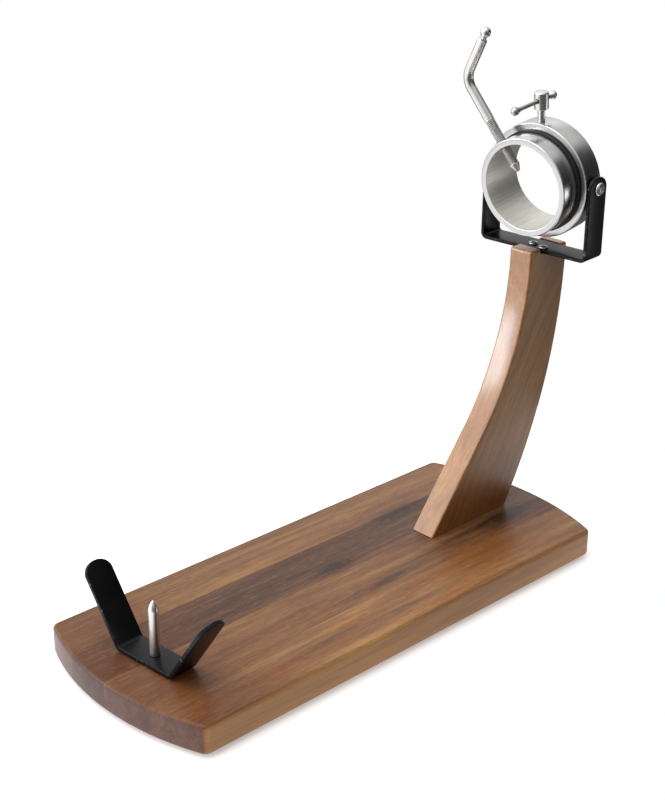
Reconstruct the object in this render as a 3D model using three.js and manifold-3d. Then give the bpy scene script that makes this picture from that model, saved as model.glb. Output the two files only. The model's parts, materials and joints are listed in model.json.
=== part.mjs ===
// A ham stand: a hardwood board with a curved arm, a V-shaped rest with a spike at the low end,
// and a tilting, turning collar with a screw clamp at the top of the arm.
//
// Units are millimetres, +Z is up and z = 0 is the table under the rubber feet. +X runs along the
// board towards the arm. The origin is under the middle of the whole stand, seen from above.

import * as THREE from 'three';
import { mergeVertices } from 'three/addons/utils/BufferGeometryUtils.js';
import Module from 'manifold-3d';

const wasm = await Module();
wasm.setup();

// ---------- driving dimensions ----------

const GAP = 0.3; // clearance between pieces that touch or run in each other

const BOARD = { length: 440, width: 177, thickness: 23, endBow: 17.4, edge: 2.5, corner: 3 };
const FOOT = { height: 3, radius: 8, topRadius: 8.8, x: 168, y: 62, bore: 2.6 };
const FOOT_RECESS = { radius: 4.6, depth: 1.5 };
const FOOT_SCREW = { shank: 1.5, head: 3.6, headHeight: 0.8, length: 12, point: 3 };
const BOARD_BOTTOM = FOOT.height;
const BOARD_TOP = BOARD_BOTTOM + BOARD.thickness;

const ARM = {
  thickness: 22,
  edge: 1.6,
  frontFootX: 95.4, // where the front edge meets the board
  frontLean: THREE.MathUtils.degToRad(37.4), // from the vertical, at the board
  frontRadius: 230,
  frontTopX: 200.3,
  backTopX: 245.3,
  backRadius: 415,
  topZ: BOARD_BOTTOM + 241.4,
};
const SEAT = { x: 224.4, width: 25.4, depth: 4 }; // channel across the arm's top, for the yoke
const ARM_SCREW = { xs: [128, 160], shank: 3, acrossFlats: 10, headHeight: 4, length: 50, point: 7 };
const ARM_SCREW_RECESS = { radius: 8, depth: 8, washer: 6.5 };
const WASHER_THICKNESS = 1.2;

const CRADLE = {
  x: -176,
  y: -0.8,
  turn: THREE.MathUtils.degToRad(4.1), // how far it is turned on the spike
  width: 23,
  thickness: 3.5,
  endRise: 9.5, // height of each arm's half-elliptical end
  cornerY: 26.1,
  armAngle: THREE.MathUtils.degToRad(56.4),
  armLength: 62.9,
  bend: 3,
};
const SPIKE = { radius: 3.85, height: 43.5, point: 9.5, stud: 3, nutAcross: 10, nutHeight: 5 };
const SPIKE_RECESS = { radius: 9, depth: 9, washer: 7 };

const YOKE = {
  turn: THREE.MathUtils.degToRad(4.5), // how far it is skewed in its seat
  width: 23,
  thickness: 3,
  endRise: 9.5,
  innerHalf: 48.1,
  bend: 2.5,
};
const YOKE_BOTTOM = ARM.topZ - SEAT.depth + GAP;
const PIVOT_Z = BOARD_BOTTOM + 296.2;
// The two screws are staggered, so that they don't split the narrow end of the arm.
const YOKE_SCREW_PLACES = [{ ahead: 2.4, left: 4.8 }, { ahead: 6, left: -7.5 }];
const YOKE_SCREW = { shank: 2, head: 3.9, headHeight: 1.9, length: 28, point: 6 };
const PIVOT_BOLT = { shank: 3, head: 5.4, headHeight: 3, socketAcross: 4, socketDepth: 1.8 };
const PIVOT_WASHER = { outer: 6, thickness: 0.9 };

const HEAD_TILT = THREE.MathUtils.degToRad(5.67); // the collar's mouth points this far down
const RING = { outer: 46.65, inner: 38, halfWidth: 10, chamfer: 0.8 };
const SLEEVE = { outer: 39.75, neck: 37.6, bore: 34.65, front: 30, back: -10.5, chamfer: 0.7 };
const THRUST = { outer: 41.3, inner: 38, back: RING.halfWidth + GAP, front: 12.3 };
const SHOULDER = THRUST.front + GAP; // where the sleeve's collar ends and its neck begins

const LOCK = {
  ahead: 4, // how far in front of the pivot
  pad: 2.6,
  padBottom: 36.3,
  shank: 3,
  shankBottom: 39.4,
  head: 5.75,
  headBottom: 56.7,
  headTop: 71.6,
  dome: 1.4,
  barHeight: 64,
};
const GROOVE = { radius: 36, halfWidth: 3.4 };
const BAR = {
  radius: 1.65,
  front: 34.5,
  back: -15.2,
  ball: 3.4,
  neck: 2.3,
  neckLength: 1.6,
  insert: 1, // how far the bar goes past the rear ball's centre
};

const CLAMP = {
  ahead: 23.5, // how far in front of the pivot
  angle: THREE.MathUtils.degToRad(53.2), // in the collar's plane, up from the left pivot
  rod: 4,
  tipBottom: 13.1,
  tipTop: 19.8,
  tipEnd: 1.5,
  stem: 2,
  stemLength: 4,
  bendAt: 96.9,
  bendAngle: THREE.MathUtils.degToRad(64),
  bendRadius: 11,
  tail: 37.5, // from the corner of the bend to the rod's end
  ball: 4.2,
  neck: 2.6,
  neckLength: 1.5,
};

const RING_SEGMENTS = 48;
const ROD_SEGMENTS = 16;
const SMALL_SEGMENTS = 12;

// The whole stand reaches from the board's low end to the back of the arm.
const FRAME_SHIFT = -(ARM.backTopX - BOARD.length / 2) / 2;

// ---------- materials ----------

function finish(color, roughness, metalness) {
  return new THREE.MeshStandardMaterial({ color, roughness, metalness });
}

const materials = {
  board: finish('#8a5a38', 0.45, 0),
  arm: finish('#a8744c', 0.45, 0),
  blackPaint: finish('#15161a', 0.3, 0.2),
  steel: finish('#c9c8c4', 0.3, 1),
  polished: finish('#dcdcdc', 0.12, 1),
  zinc: finish('#a9abad', 0.4, 1),
  nylon: finish('#141414', 0.55, 0),
  brass: finish('#b08d4a', 0.35, 1),
  rubber: finish('#222222', 0.85, 0),
};

// ---------- solids ----------

// Whether the triangles face out of the solid, from the sign of the volume that they enclose.
function facesOut(position, index) {
  const a = new THREE.Vector3();
  const b = new THREE.Vector3();
  const c = new THREE.Vector3();
  let volume = 0;
  for (let i = 0; i < index.length; i += 3) {
    a.fromBufferAttribute(position, index[i]);
    b.fromBufferAttribute(position, index[i + 1]);
    c.fromBufferAttribute(position, index[i + 2]);
    volume += a.dot(b.cross(c));
  }
  return volume > 0;
}

function toSolid(geometry) {
  const bare = geometry.clone();
  bare.deleteAttribute('normal');
  bare.deleteAttribute('uv');
  const merged = mergeVertices(bare, 1e-4);
  const all = Array.from(merged.index.array);
  const kept = [];
  for (let i = 0; i < all.length; i += 3) {
    const [a, b, c] = all.slice(i, i + 3);
    if (a !== b && b !== c && c !== a) kept.push(a, b, c);
  }
  const triangles = facesOut(merged.attributes.position, kept) ? kept : kept.reverse();
  return new wasm.Manifold(
    new wasm.Mesh({
      numProp: 3,
      vertProperties: new Float32Array(merged.attributes.position.array),
      triVerts: new Uint32Array(triangles),
    }),
  );
}

function toGeometry(solid) {
  const mesh = solid.getMesh();
  const geometry = new THREE.BufferGeometry();
  const positions = new Float32Array(mesh.vertProperties);
  geometry.setAttribute('position', new THREE.BufferAttribute(positions, mesh.numProp));
  geometry.setIndex(new THREE.BufferAttribute(new Uint32Array(mesh.triVerts), 1));
  return geometry;
}

function cut(solid, ...tools) {
  return tools.reduce((rest, tool) => rest.subtract(tool), solid);
}

// A profile of [radius, z] points turned about Z. It starts and ends on the axis, or closes.
function turned(profile, segments) {
  const points = profile.map(([radius, z]) => new THREE.Vector2(radius, z));
  return new THREE.LatheGeometry(points, segments).rotateX(Math.PI / 2);
}

function disc(radius, bottom, top, segments) {
  return turned([[0, bottom], [radius, bottom], [radius, top], [0, top]], segments);
}

function tube(inner, outer, bottom, top, segments) {
  const corners = [[inner, bottom], [outer, bottom], [outer, top], [inner, top]];
  return turned([...corners, corners[0]], segments);
}

// A drill along +Z through (x, y).
function drill(radius, x, y, bottom, top, segments = SMALL_SEGMENTS) {
  return toSolid(disc(radius, bottom, top, segments).translate(x, y, 0));
}

function block(lowX, highX, lowY, highY, lowZ, highZ) {
  const box = new THREE.BoxGeometry(highX - lowX, highY - lowY, highZ - lowZ);
  return toSolid(box.translate((lowX + highX) / 2, (lowY + highY) / 2, (lowZ + highZ) / 2));
}

// An outline drawn in Y and Z, extruded along X about x = 0.
function extrudedAlongX(shape, depth, curveSegments) {
  const geometry = new THREE.ExtrudeGeometry(shape, { depth, curveSegments, bevelEnabled: false });
  const toYZX = new THREE.Matrix4().makeBasis(
    new THREE.Vector3(0, 1, 0),
    new THREE.Vector3(0, 0, 1),
    new THREE.Vector3(1, 0, 0),
  );
  return geometry.translate(0, 0, -depth / 2).applyMatrix4(toYZX);
}

// An outline drawn in X and Z, extruded along Y about y = 0, with rounded edges if edge is set.
function extrudedAlongY(shape, depth, edge, curveSegments) {
  const geometry = new THREE.ExtrudeGeometry(shape, {
    depth: depth - 2 * edge,
    curveSegments,
    bevelEnabled: edge > 0,
    bevelThickness: edge,
    bevelSize: edge,
    bevelOffset: -edge,
    bevelSegments: 2,
  });
  const toXZY = new THREE.Matrix4().makeBasis(
    new THREE.Vector3(1, 0, 0),
    new THREE.Vector3(0, 0, 1),
    new THREE.Vector3(0, -1, 0),
  );
  return geometry.translate(0, 0, edge - depth / 2).applyMatrix4(toXZY);
}

function hexagon(across, bottom, top) {
  return disc(across / Math.sqrt(3), bottom, top, 6);
}

function mesh(name, solid, material) {
  const geometry = solid.isBufferGeometry ? toGeometry(toSolid(solid)) : toGeometry(solid);
  const result = new THREE.Mesh(geometry, material);
  result.name = name;
  return result;
}

// ---------- board, feet and their screws ----------

// The long sides are straight and each end is one shallow arc, with eased corners.
function boardOutline() {
  const halfWidth = BOARD.width / 2;
  const bow = BOARD.endBow;
  const endRadius = (halfWidth ** 2 + bow ** 2) / (2 * bow);
  const cornerX = BOARD.length / 2 - bow;
  const centreX = BOARD.length / 2 - endRadius;
  const sweep = Math.asin((halfWidth - BOARD.corner) / endRadius);
  const shape = new THREE.Shape();
  shape.moveTo(-cornerX + BOARD.corner, -halfWidth);
  shape.lineTo(cornerX - BOARD.corner, -halfWidth);
  shape.quadraticCurveTo(
    cornerX,
    -halfWidth,
    centreX + endRadius * Math.cos(sweep),
    -endRadius * Math.sin(sweep),
  );
  shape.absarc(centreX, 0, endRadius, -sweep, sweep, false);
  shape.quadraticCurveTo(cornerX, halfWidth, cornerX - BOARD.corner, halfWidth);
  shape.lineTo(-cornerX + BOARD.corner, halfWidth);
  shape.quadraticCurveTo(
    -cornerX,
    halfWidth,
    -centreX - endRadius * Math.cos(sweep),
    endRadius * Math.sin(sweep),
  );
  shape.absarc(-centreX, 0, endRadius, Math.PI - sweep, Math.PI + sweep, false);
  shape.quadraticCurveTo(-cornerX, -halfWidth, -cornerX + BOARD.corner, -halfWidth);
  return shape;
}

function footPlaces() {
  const places = [];
  for (const end of [-1, 1]) {
    for (const side of [-1, 1]) {
      places.push({ x: end * FOOT.x, y: side * FOOT.y });
    }
  }
  return places;
}

function baseBoard() {
  const slab = new THREE.ExtrudeGeometry(boardOutline(), {
    depth: BOARD.thickness - 2 * BOARD.edge,
    curveSegments: 8,
    bevelEnabled: true,
    bevelThickness: BOARD.edge,
    bevelSize: BOARD.edge,
    bevelOffset: -BOARD.edge,
    bevelSegments: 2,
  }).translate(0, 0, BOARD_BOTTOM + BOARD.edge);
  const below = BOARD_BOTTOM - 1;
  const tools = [
    drill(SPIKE.stud + GAP, CRADLE.x, CRADLE.y, below, BOARD_TOP + 1),
    drill(SPIKE_RECESS.radius, CRADLE.x, CRADLE.y, below, BOARD_BOTTOM + SPIKE_RECESS.depth, 24),
  ];
  for (const x of ARM_SCREW.xs) {
    tools.push(drill(ARM_SCREW.shank + GAP, x, 0, below, BOARD_TOP + 1));
    const recessTop = BOARD_BOTTOM + ARM_SCREW_RECESS.depth;
    tools.push(drill(ARM_SCREW_RECESS.radius, x, 0, below, recessTop, 24));
  }
  const pilotTop = BOARD_BOTTOM + FOOT_SCREW.length;
  for (const { x, y } of footPlaces()) {
    tools.push(drill(FOOT_SCREW.shank + GAP, x, y, below, pilotTop));
  }
  return mesh('base_board', cut(toSolid(slab), ...tools), materials.board);
}

function feet() {
  const { radius, topRadius, bore } = FOOT;
  const top = BOARD_BOTTOM - GAP;
  const rubber = [
    [bore, FOOT_RECESS.depth],
    [FOOT_RECESS.radius, FOOT_RECESS.depth],
    [FOOT_RECESS.radius, 0],
    [radius, 0],
    [topRadius, top],
    [bore, top],
    [bore, FOOT_RECESS.depth],
  ];
  const { shank, head, headHeight, length, point } = FOOT_SCREW;
  const headTop = FOOT_RECESS.depth - GAP;
  const headBottom = headTop - headHeight;
  const screw = [
    [0, headBottom],
    [head * 0.6, headBottom],
    [head, headBottom + headHeight / 2],
    [head, headTop],
    [shank, headTop],
    [shank, headTop + length - point],
    [0, headTop + length],
  ];
  const group = new THREE.Group();
  footPlaces().forEach(({ x, y }, i) => {
    const foot = mesh(`foot_${i + 1}`, turned(rubber, 24), materials.rubber);
    const fixing = mesh(`foot_screw_${i + 1}`, turned(screw, SMALL_SEGMENTS), materials.zinc);
    foot.position.set(x, y, 0);
    fixing.position.set(x, y, 0);
    group.add(foot, fixing);
  });
  return group;
}

// ---------- arm and the screws that hold it ----------

// Front edge: straight from the board, then an arc that ends upright under the top.
// Back edge: one arc, upright at the top. The outline runs on below the board's top face, where
// it is cut off, so that the rounded edges stop sharply at the board.
function armOutline() {
  const below = BOARD_TOP - 12;
  const lean = ARM.frontLean;
  const arcRise = ARM.frontRadius * Math.sin(lean);
  const arcRun = ARM.frontRadius * (1 - Math.cos(lean));
  const arcStartX = ARM.frontTopX - arcRun;
  const arcStartZ = BOARD_TOP + (arcStartX - ARM.frontFootX) / Math.tan(lean);
  const arcEndZ = arcStartZ + arcRise;
  const frontBelowX = ARM.frontFootX - (BOARD_TOP - below) * Math.tan(lean);
  const backDrop = Math.asin((arcEndZ - below) / ARM.backRadius);
  const shape = new THREE.Shape();
  shape.moveTo(frontBelowX, below);
  const backCentreX = ARM.backTopX - ARM.backRadius;
  shape.lineTo(backCentreX + ARM.backRadius * Math.cos(backDrop), below);
  shape.absarc(backCentreX, arcEndZ, ARM.backRadius, -backDrop, 0, false);
  shape.lineTo(ARM.backTopX, ARM.topZ);
  shape.lineTo(ARM.frontTopX, ARM.topZ);
  shape.lineTo(ARM.frontTopX, arcEndZ);
  shape.absarc(ARM.frontTopX - ARM.frontRadius, arcEndZ, ARM.frontRadius, 0, -lean, true);
  return shape;
}

// Where the yoke's screws stand on the arm, with the yoke's skew in its seat.
function yokeScrewPlaces() {
  const cos = Math.cos(YOKE.turn);
  const sin = Math.sin(YOKE.turn);
  return YOKE_SCREW_PLACES.map(({ ahead, left }) => ({
    x: SEAT.x - ahead * cos - left * sin,
    y: left * cos - ahead * sin,
  }));
}

function supportArm() {
  const blank = toSolid(extrudedAlongY(armOutline(), ARM.thickness, ARM.edge, 12));
  const wide = ARM.thickness;
  const tools = [
    block(0, 300, -wide, wide, 0, BOARD_TOP + GAP),
    block(
      SEAT.x - SEAT.width / 2,
      SEAT.x + SEAT.width / 2,
      -wide,
      wide,
      ARM.topZ - SEAT.depth,
      ARM.topZ + 5,
    ),
  ];
  for (const x of ARM_SCREW.xs) {
    const tip = BOARD_BOTTOM + ARM_SCREW_RECESS.depth + ARM_SCREW.length;
    tools.push(drill(ARM_SCREW.shank + GAP, x, 0, BOARD_TOP - 1, tip));
  }
  for (const { x, y } of yokeScrewPlaces()) {
    const tip = YOKE_BOTTOM + YOKE.thickness - YOKE_SCREW.length - 1;
    tools.push(drill(YOKE_SCREW.shank + GAP, x, y, tip, ARM.topZ + 1));
  }
  return mesh('support_arm', cut(blank, ...tools), materials.arm);
}

function armScrews() {
  const { shank, acrossFlats, headHeight, length, point } = ARM_SCREW;
  const ceiling = BOARD_BOTTOM + ARM_SCREW_RECESS.depth;
  const washerTop = ceiling - GAP;
  const washerBottom = washerTop - WASHER_THICKNESS;
  const headTop = washerBottom - GAP;
  const tip = ceiling + length - 1;
  const rod = [[0, headTop - 1], [shank, headTop - 1], [shank, tip - point], [0, tip]];
  const head = toSolid(hexagon(acrossFlats, headTop - headHeight, headTop));
  const screw = head.add(toSolid(turned(rod, SMALL_SEGMENTS)));
  const washer = tube(shank + GAP, ARM_SCREW_RECESS.washer, washerBottom, washerTop, 24);
  const group = new THREE.Group();
  ARM_SCREW.xs.forEach((x, i) => {
    const screwMesh = mesh(`arm_screw_${i + 1}`, screw, materials.zinc);
    const washerMesh = mesh(`arm_washer_${i + 1}`, washer, materials.zinc);
    screwMesh.position.x = x;
    washerMesh.position.x = x;
    group.add(screwMesh, washerMesh);
  });
  return group;
}

// ---------- bent strips: the cradle and the yoke ----------

// A flat strip bent up at both sides, drawn in Y and Z with its base on z = 0.
function bentStripOutline({ flatHalf, thickness, bend, angle, straight }) {
  const centreZ = thickness + bend;
  const outer = thickness + bend;
  const quarter = Math.PI / 2;
  const along = new THREE.Vector2(Math.cos(angle), Math.sin(angle));
  const end = (radius, side) => new THREE.Vector2(
    side * (flatHalf + radius * Math.sin(angle) + straight * along.x),
    centreZ - radius * Math.cos(angle) + straight * along.y,
  );
  const shape = new THREE.Shape();
  shape.moveTo(end(bend, 1).x, end(bend, 1).y);
  shape.absarc(flatHalf, centreZ, bend, angle - quarter, -quarter, true);
  shape.absarc(-flatHalf, centreZ, bend, -quarter, -quarter - angle, true);
  shape.lineTo(end(bend, -1).x, end(bend, -1).y);
  shape.lineTo(end(outer, -1).x, end(outer, -1).y);
  shape.absarc(-flatHalf, centreZ, outer, -quarter - angle, -quarter, false);
  shape.absarc(flatHalf, centreZ, outer, -quarter, angle - quarter, false);
  shape.lineTo(end(outer, 1).x, end(outer, 1).y);
  return shape;
}

// Length of an inner bend's tangent, from where it starts to the corner it rounds.
function bendSetback(bend, angle) {
  return bend * Math.tan(angle / 2);
}

// A plate with a half-elliptical end, drawn in X and Z, as a cutter that rounds a strip's end.
function roundEndedPlate(halfWidth, bottom, top, endRise, depth) {
  const shape = new THREE.Shape();
  shape.moveTo(-halfWidth, bottom);
  shape.lineTo(halfWidth, bottom);
  shape.absellipse(0, top - endRise, halfWidth, endRise, 0, Math.PI, false);
  return extrudedAlongY(shape, depth, 0, 8);
}

function cradle() {
  const { width, thickness, armAngle, armLength, bend } = CRADLE;
  const setback = bendSetback(bend, armAngle);
  const outline = bentStripOutline({
    flatHalf: CRADLE.cornerY - setback,
    thickness,
    bend,
    angle: armAngle,
    straight: armLength - setback,
  });
  const strip = toSolid(extrudedAlongX(outline, width, 6));
  const halfCutter = width / 2 + 0.05;
  let rounding = block(-halfCutter, halfCutter, -CRADLE.cornerY - 6, CRADLE.cornerY + 6, -1, 14);
  for (const side of [-1, 1]) {
    const plate = roundEndedPlate(halfCutter, 0, armLength, CRADLE.endRise, 6 * thickness)
      .rotateX(-side * (Math.PI / 2 - armAngle))
      .translate(0, side * CRADLE.cornerY, thickness);
    rounding = rounding.add(toSolid(plate));
  }
  const shaped = cut(strip.intersect(rounding), drill(SPIKE.stud + GAP, 0, 0, -1, thickness + 1));
  const result = mesh('cradle', shaped, materials.blackPaint);
  result.position.set(CRADLE.x, CRADLE.y, BOARD_TOP + GAP);
  result.rotation.z = CRADLE.turn;
  return result;
}

function yoke() {
  const { width, thickness, innerHalf, bend } = YOKE;
  const pivot = PIVOT_Z - YOKE_BOTTOM;
  const outline = bentStripOutline({
    flatHalf: innerHalf - bend,
    thickness,
    bend,
    angle: Math.PI / 2,
    straight: pivot + YOKE.endRise - thickness - bend,
  });
  const strip = toSolid(extrudedAlongX(outline, width, 6));
  const outerHalf = innerHalf + thickness;
  const top = pivot + YOKE.endRise;
  const plate = roundEndedPlate(width / 2 + 0.05, -1, top, YOKE.endRise, 2 * outerHalf + 10);
  const rounding = toSolid(plate);
  const pivotHole = disc(PIVOT_BOLT.shank + GAP, -outerHalf - 1, outerHalf + 1, SMALL_SEGMENTS)
    .rotateX(Math.PI / 2)
    .translate(0, 0, pivot);
  const tools = [toSolid(pivotHole)];
  for (const { ahead, left } of YOKE_SCREW_PLACES) {
    tools.push(drill(YOKE_SCREW.shank + GAP, -ahead, left, -1, thickness + 1));
  }
  const result = mesh('yoke', cut(strip.intersect(rounding), ...tools), materials.blackPaint);
  result.position.set(SEAT.x, 0, YOKE_BOTTOM);
  result.rotation.z = YOKE.turn;
  return result;
}

function yokeScrews() {
  const under = YOKE_BOTTOM + YOKE.thickness + GAP;
  const profile = [
    [0, under - YOKE_SCREW.length],
    [YOKE_SCREW.shank, under - YOKE_SCREW.length + YOKE_SCREW.point],
    [YOKE_SCREW.shank, under],
    [YOKE_SCREW.head, under],
    [YOKE_SCREW.head, under + YOKE_SCREW.headHeight / 2],
    [YOKE_SCREW.head * 0.6, under + YOKE_SCREW.headHeight],
    [0, under + YOKE_SCREW.headHeight],
  ];
  const group = new THREE.Group();
  yokeScrewPlaces().forEach(({ x, y }, i) => {
    const screw = mesh(`yoke_screw_${i + 1}`, turned(profile, SMALL_SEGMENTS), materials.zinc);
    screw.position.set(x, y, 0);
    group.add(screw);
  });
  return group;
}

// ---------- spike ----------

function spike() {
  const shoulder = BOARD_TOP + GAP + CRADLE.thickness + GAP;
  const recessTop = BOARD_BOTTOM + SPIKE_RECESS.depth;
  const studBottom = BOARD_BOTTOM + 1;
  const tip = shoulder + SPIKE.height;
  const profile = [
    [0, studBottom],
    [SPIKE.stud, studBottom],
    [SPIKE.stud, shoulder],
    [SPIKE.radius, shoulder],
  ];
  // The point is an ogive: the radius falls with the square of the way up.
  const steps = 6;
  for (let i = 0; i <= steps; i += 1) {
    const rise = i / steps;
    profile.push([SPIKE.radius * (1 - rise ** 2) ** 0.8, tip - SPIKE.point * (1 - rise)]);
  }
  const washerTop = recessTop - GAP;
  const washerBottom = washerTop - WASHER_THICKNESS;
  const nutTop = washerBottom - GAP;
  const hole = SPIKE.stud + GAP;
  const washer = tube(hole, SPIKE_RECESS.washer, washerBottom, washerTop, 24);
  const nut = cut(
    toSolid(hexagon(SPIKE.nutAcross, nutTop - SPIKE.nutHeight, nutTop)),
    drill(hole, 0, 0, 0, BOARD_TOP),
  );
  const group = new THREE.Group();
  group.add(
    mesh('spike', turned(profile, ROD_SEGMENTS), materials.steel),
    mesh('spike_washer', washer, materials.zinc),
    mesh('spike_nut', nut, materials.zinc),
  );
  group.position.set(CRADLE.x, CRADLE.y, 0);
  return group;
}

// ---------- head: everything that tilts between the yoke's arms ----------
// In the head's own frame -X is forward along the collar, +Y is the left pivot and +Z is up.

const TOWARDS_FRONT = -Math.PI / 2; // a turn about Y that lays +Z along -X

function outerRing() {
  const { outer, inner, halfWidth, chamfer } = RING;
  const profile = [
    [inner, -halfWidth + chamfer / 2],
    [inner + chamfer / 2, -halfWidth],
    [outer - chamfer, -halfWidth],
    [outer, -halfWidth + chamfer],
    [outer, halfWidth - chamfer],
    [outer - chamfer, halfWidth],
    [inner + chamfer / 2, halfWidth],
    [inner, halfWidth - chamfer / 2],
    [inner, -halfWidth + chamfer / 2],
  ];
  const ring = toSolid(turned(profile, RING_SEGMENTS).rotateY(TOWARDS_FRONT));
  const pivotHole = disc(PIVOT_BOLT.shank + GAP, -outer - 5, outer + 5, SMALL_SEGMENTS);
  const lockHole = disc(LOCK.shank + GAP, inner - 5, outer + 5, SMALL_SEGMENTS);
  return mesh(
    'outer_ring',
    cut(
      ring,
      toSolid(pivotHole.rotateX(Math.PI / 2)),
      toSolid(lockHole.translate(-LOCK.ahead, 0, 0)),
    ),
    materials.steel,
  );
}

// Each pivot is a button-head bolt through the yoke's arm and a spacer, screwed into the ring.
function pivots() {
  const under = YOKE.innerHalf + YOKE.thickness + GAP;
  const { shank, head, headHeight } = PIVOT_BOLT;
  const top = under + headHeight;
  const profile = [
    [0, RING.inner + GAP],
    [shank, RING.inner + GAP],
    [shank, under],
    [head, under],
    [head, under + headHeight / 4],
    [head * 0.86, under + headHeight * 0.7],
    [head * 0.58, top],
    [0, top],
  ];
  const socket = hexagon(PIVOT_BOLT.socketAcross, top - PIVOT_BOLT.socketDepth, top + 1);
  const bolt = cut(toSolid(turned(profile, ROD_SEGMENTS)), toSolid(socket));
  const middle = (RING.outer + YOKE.innerHalf) / 2;
  const { outer, thickness } = PIVOT_WASHER;
  const spacer = tube(
    PIVOT_BOLT.shank + GAP,
    outer,
    middle - thickness / 2,
    middle + thickness / 2,
    ROD_SEGMENTS,
  );
  const group = new THREE.Group();
  for (const [side, turn] of [['left', -Math.PI / 2], ['right', Math.PI / 2]]) {
    const pair = new THREE.Group();
    pair.add(
      mesh(`pivot_bolt_${side}`, bolt, materials.polished),
      mesh(`pivot_washer_${side}`, spacer.clone(), materials.nylon),
    );
    pair.rotation.x = turn;
    group.add(pair);
  }
  return group;
}

// The sleeve's collar stands in front of the ring; its neck turns inside it, and the groove
// round the neck takes the lock screw's pad, which also keeps the sleeve from sliding out.
function sleeve() {
  const { outer, neck, bore, front, back, chamfer } = SLEEVE;
  const profile = [
    [bore, back],
    [neck, back],
    [neck, LOCK.ahead - GROOVE.halfWidth],
    [GROOVE.radius, LOCK.ahead - GROOVE.halfWidth],
    [GROOVE.radius, LOCK.ahead + GROOVE.halfWidth],
    [neck, LOCK.ahead + GROOVE.halfWidth],
    [neck, SHOULDER],
    [outer, SHOULDER],
    [outer, front - chamfer],
    [outer - chamfer, front],
    [bore + chamfer, front],
    [bore, front - chamfer],
    [bore, back],
  ];
  const body = toSolid(turned(profile, RING_SEGMENTS).rotateY(TOWARDS_FRONT));
  const hole = disc(CLAMP.rod + GAP, bore - 5, outer + 5, ROD_SEGMENTS)
    .rotateX(CLAMP.angle - Math.PI / 2)
    .translate(-CLAMP.ahead, 0, 0);
  return mesh('sleeve', cut(body, toSolid(hole)), materials.steel);
}

function thrustWasher() {
  const { inner, outer, back, front } = THRUST;
  const ring = tube(inner, outer, back, front, RING_SEGMENTS).rotateY(TOWARDS_FRONT);
  return mesh('thrust_washer', ring, materials.nylon);
}

// The lock screw stands on top of the ring, with a bar that slides through its head.
function lockScrew() {
  const { shank, shankBottom, head, headBottom, headTop, dome } = LOCK;
  const bevel = 0.6;
  const profile = [
    [0, shankBottom],
    [shank, shankBottom],
    [shank, headBottom],
    [head - bevel, headBottom],
    [head, headBottom + bevel],
    [head, headTop - dome],
    [head * 0.78, headTop - dome * 0.3],
    [0, headTop],
  ];
  const crossHole = disc(BAR.radius + GAP, -20, 20, SMALL_SEGMENTS)
    .rotateY(TOWARDS_FRONT)
    .translate(0, 0, LOCK.barHeight);
  const screw = cut(toSolid(turned(profile, ROD_SEGMENTS)), toSolid(crossHole));
  const pad = disc(LOCK.pad, LOCK.padBottom, shankBottom - GAP, SMALL_SEGMENTS);
  const group = new THREE.Group();
  group.add(
    mesh('lock_pad', pad, materials.brass),
    mesh('lock_screw', screw, materials.polished),
    tommyBar(),
  );
  group.position.x = -LOCK.ahead;
  return group;
}

// The bar's front ball is part of it; the rear ball is screwed on after the bar is put through.
function tommyBar() {
  const { radius, front, back, ball, neck, neckLength, insert } = BAR;
  const start = Math.asin(radius / ball);
  const frontEnd = [];
  const steps = 8;
  for (let i = 0; i <= steps; i += 1) {
    const angle = start + ((Math.PI - start) * i) / steps;
    frontEnd.push([ball * Math.sin(angle), front - ball * Math.cos(angle)]);
  }
  frontEnd[steps][0] = 0;
  const neckStart = front - ball * Math.cos(start) - neckLength;
  const profile = [
    [0, back - insert],
    [radius, back - insert],
    [radius, neckStart],
    [neck, neckStart],
    [neck, neckStart + neckLength],
    ...frontEnd,
  ];
  const knob = new THREE.SphereGeometry(ball, SMALL_SEGMENTS, 10).rotateX(Math.PI / 2);
  const collar = disc(neck, 0, ball * Math.cos(start) + neckLength, SMALL_SEGMENTS);
  const socket = disc(radius + GAP, -insert - GAP, ball + neckLength + 1, SMALL_SEGMENTS);
  const rear = cut(toSolid(knob).add(toSolid(collar)), toSolid(socket));
  const bar = mesh('tommy_bar', turned(profile, SMALL_SEGMENTS), materials.polished);
  const rearBall = mesh('tommy_knob', rear, materials.polished);
  rearBall.position.z = back;
  const group = new THREE.Group();
  group.add(bar, rearBall);
  group.rotation.y = TOWARDS_FRONT;
  group.position.z = LOCK.barHeight;
  return group;
}

// ---------- clamp: a bent rod screwed through the collar's wall ----------
// In its own frame +Z is the screw's axis, away from the collar's centre.

function clampTip() {
  const { rod, tipBottom, tipTop, tipEnd, stem, stemLength } = CLAMP;
  const profile = [
    [0, tipBottom],
    [tipEnd, tipBottom],
    [rod, tipTop],
    [stem, tipTop],
    [stem, tipTop + stemLength],
    [0, tipTop + stemLength],
  ];
  return mesh('clamp_tip', turned(profile, ROD_SEGMENTS), materials.steel);
}

function rodPath() {
  const { tipTop, bendAt, bendAngle, bendRadius, tail } = CLAMP;
  const setback = bendSetback(bendRadius, bendAngle);
  const corner = new THREE.Vector3(0, 0, bendAt);
  const tailway = new THREE.Vector3(0, -Math.sin(bendAngle), Math.cos(bendAngle));
  const bendStart = new THREE.Vector3(0, 0, bendAt - setback);
  const bendEnd = corner.clone().addScaledVector(tailway, setback);
  const end = corner.clone().addScaledVector(tailway, tail);
  const path = new THREE.CurvePath();
  path.add(new THREE.LineCurve3(new THREE.Vector3(0, 0, tipTop + GAP), bendStart));
  path.add(new THREE.QuadraticBezierCurve3(bendStart, corner, bendEnd));
  path.add(new THREE.LineCurve3(bendEnd, end));
  return { path, end, tailway };
}

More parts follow.
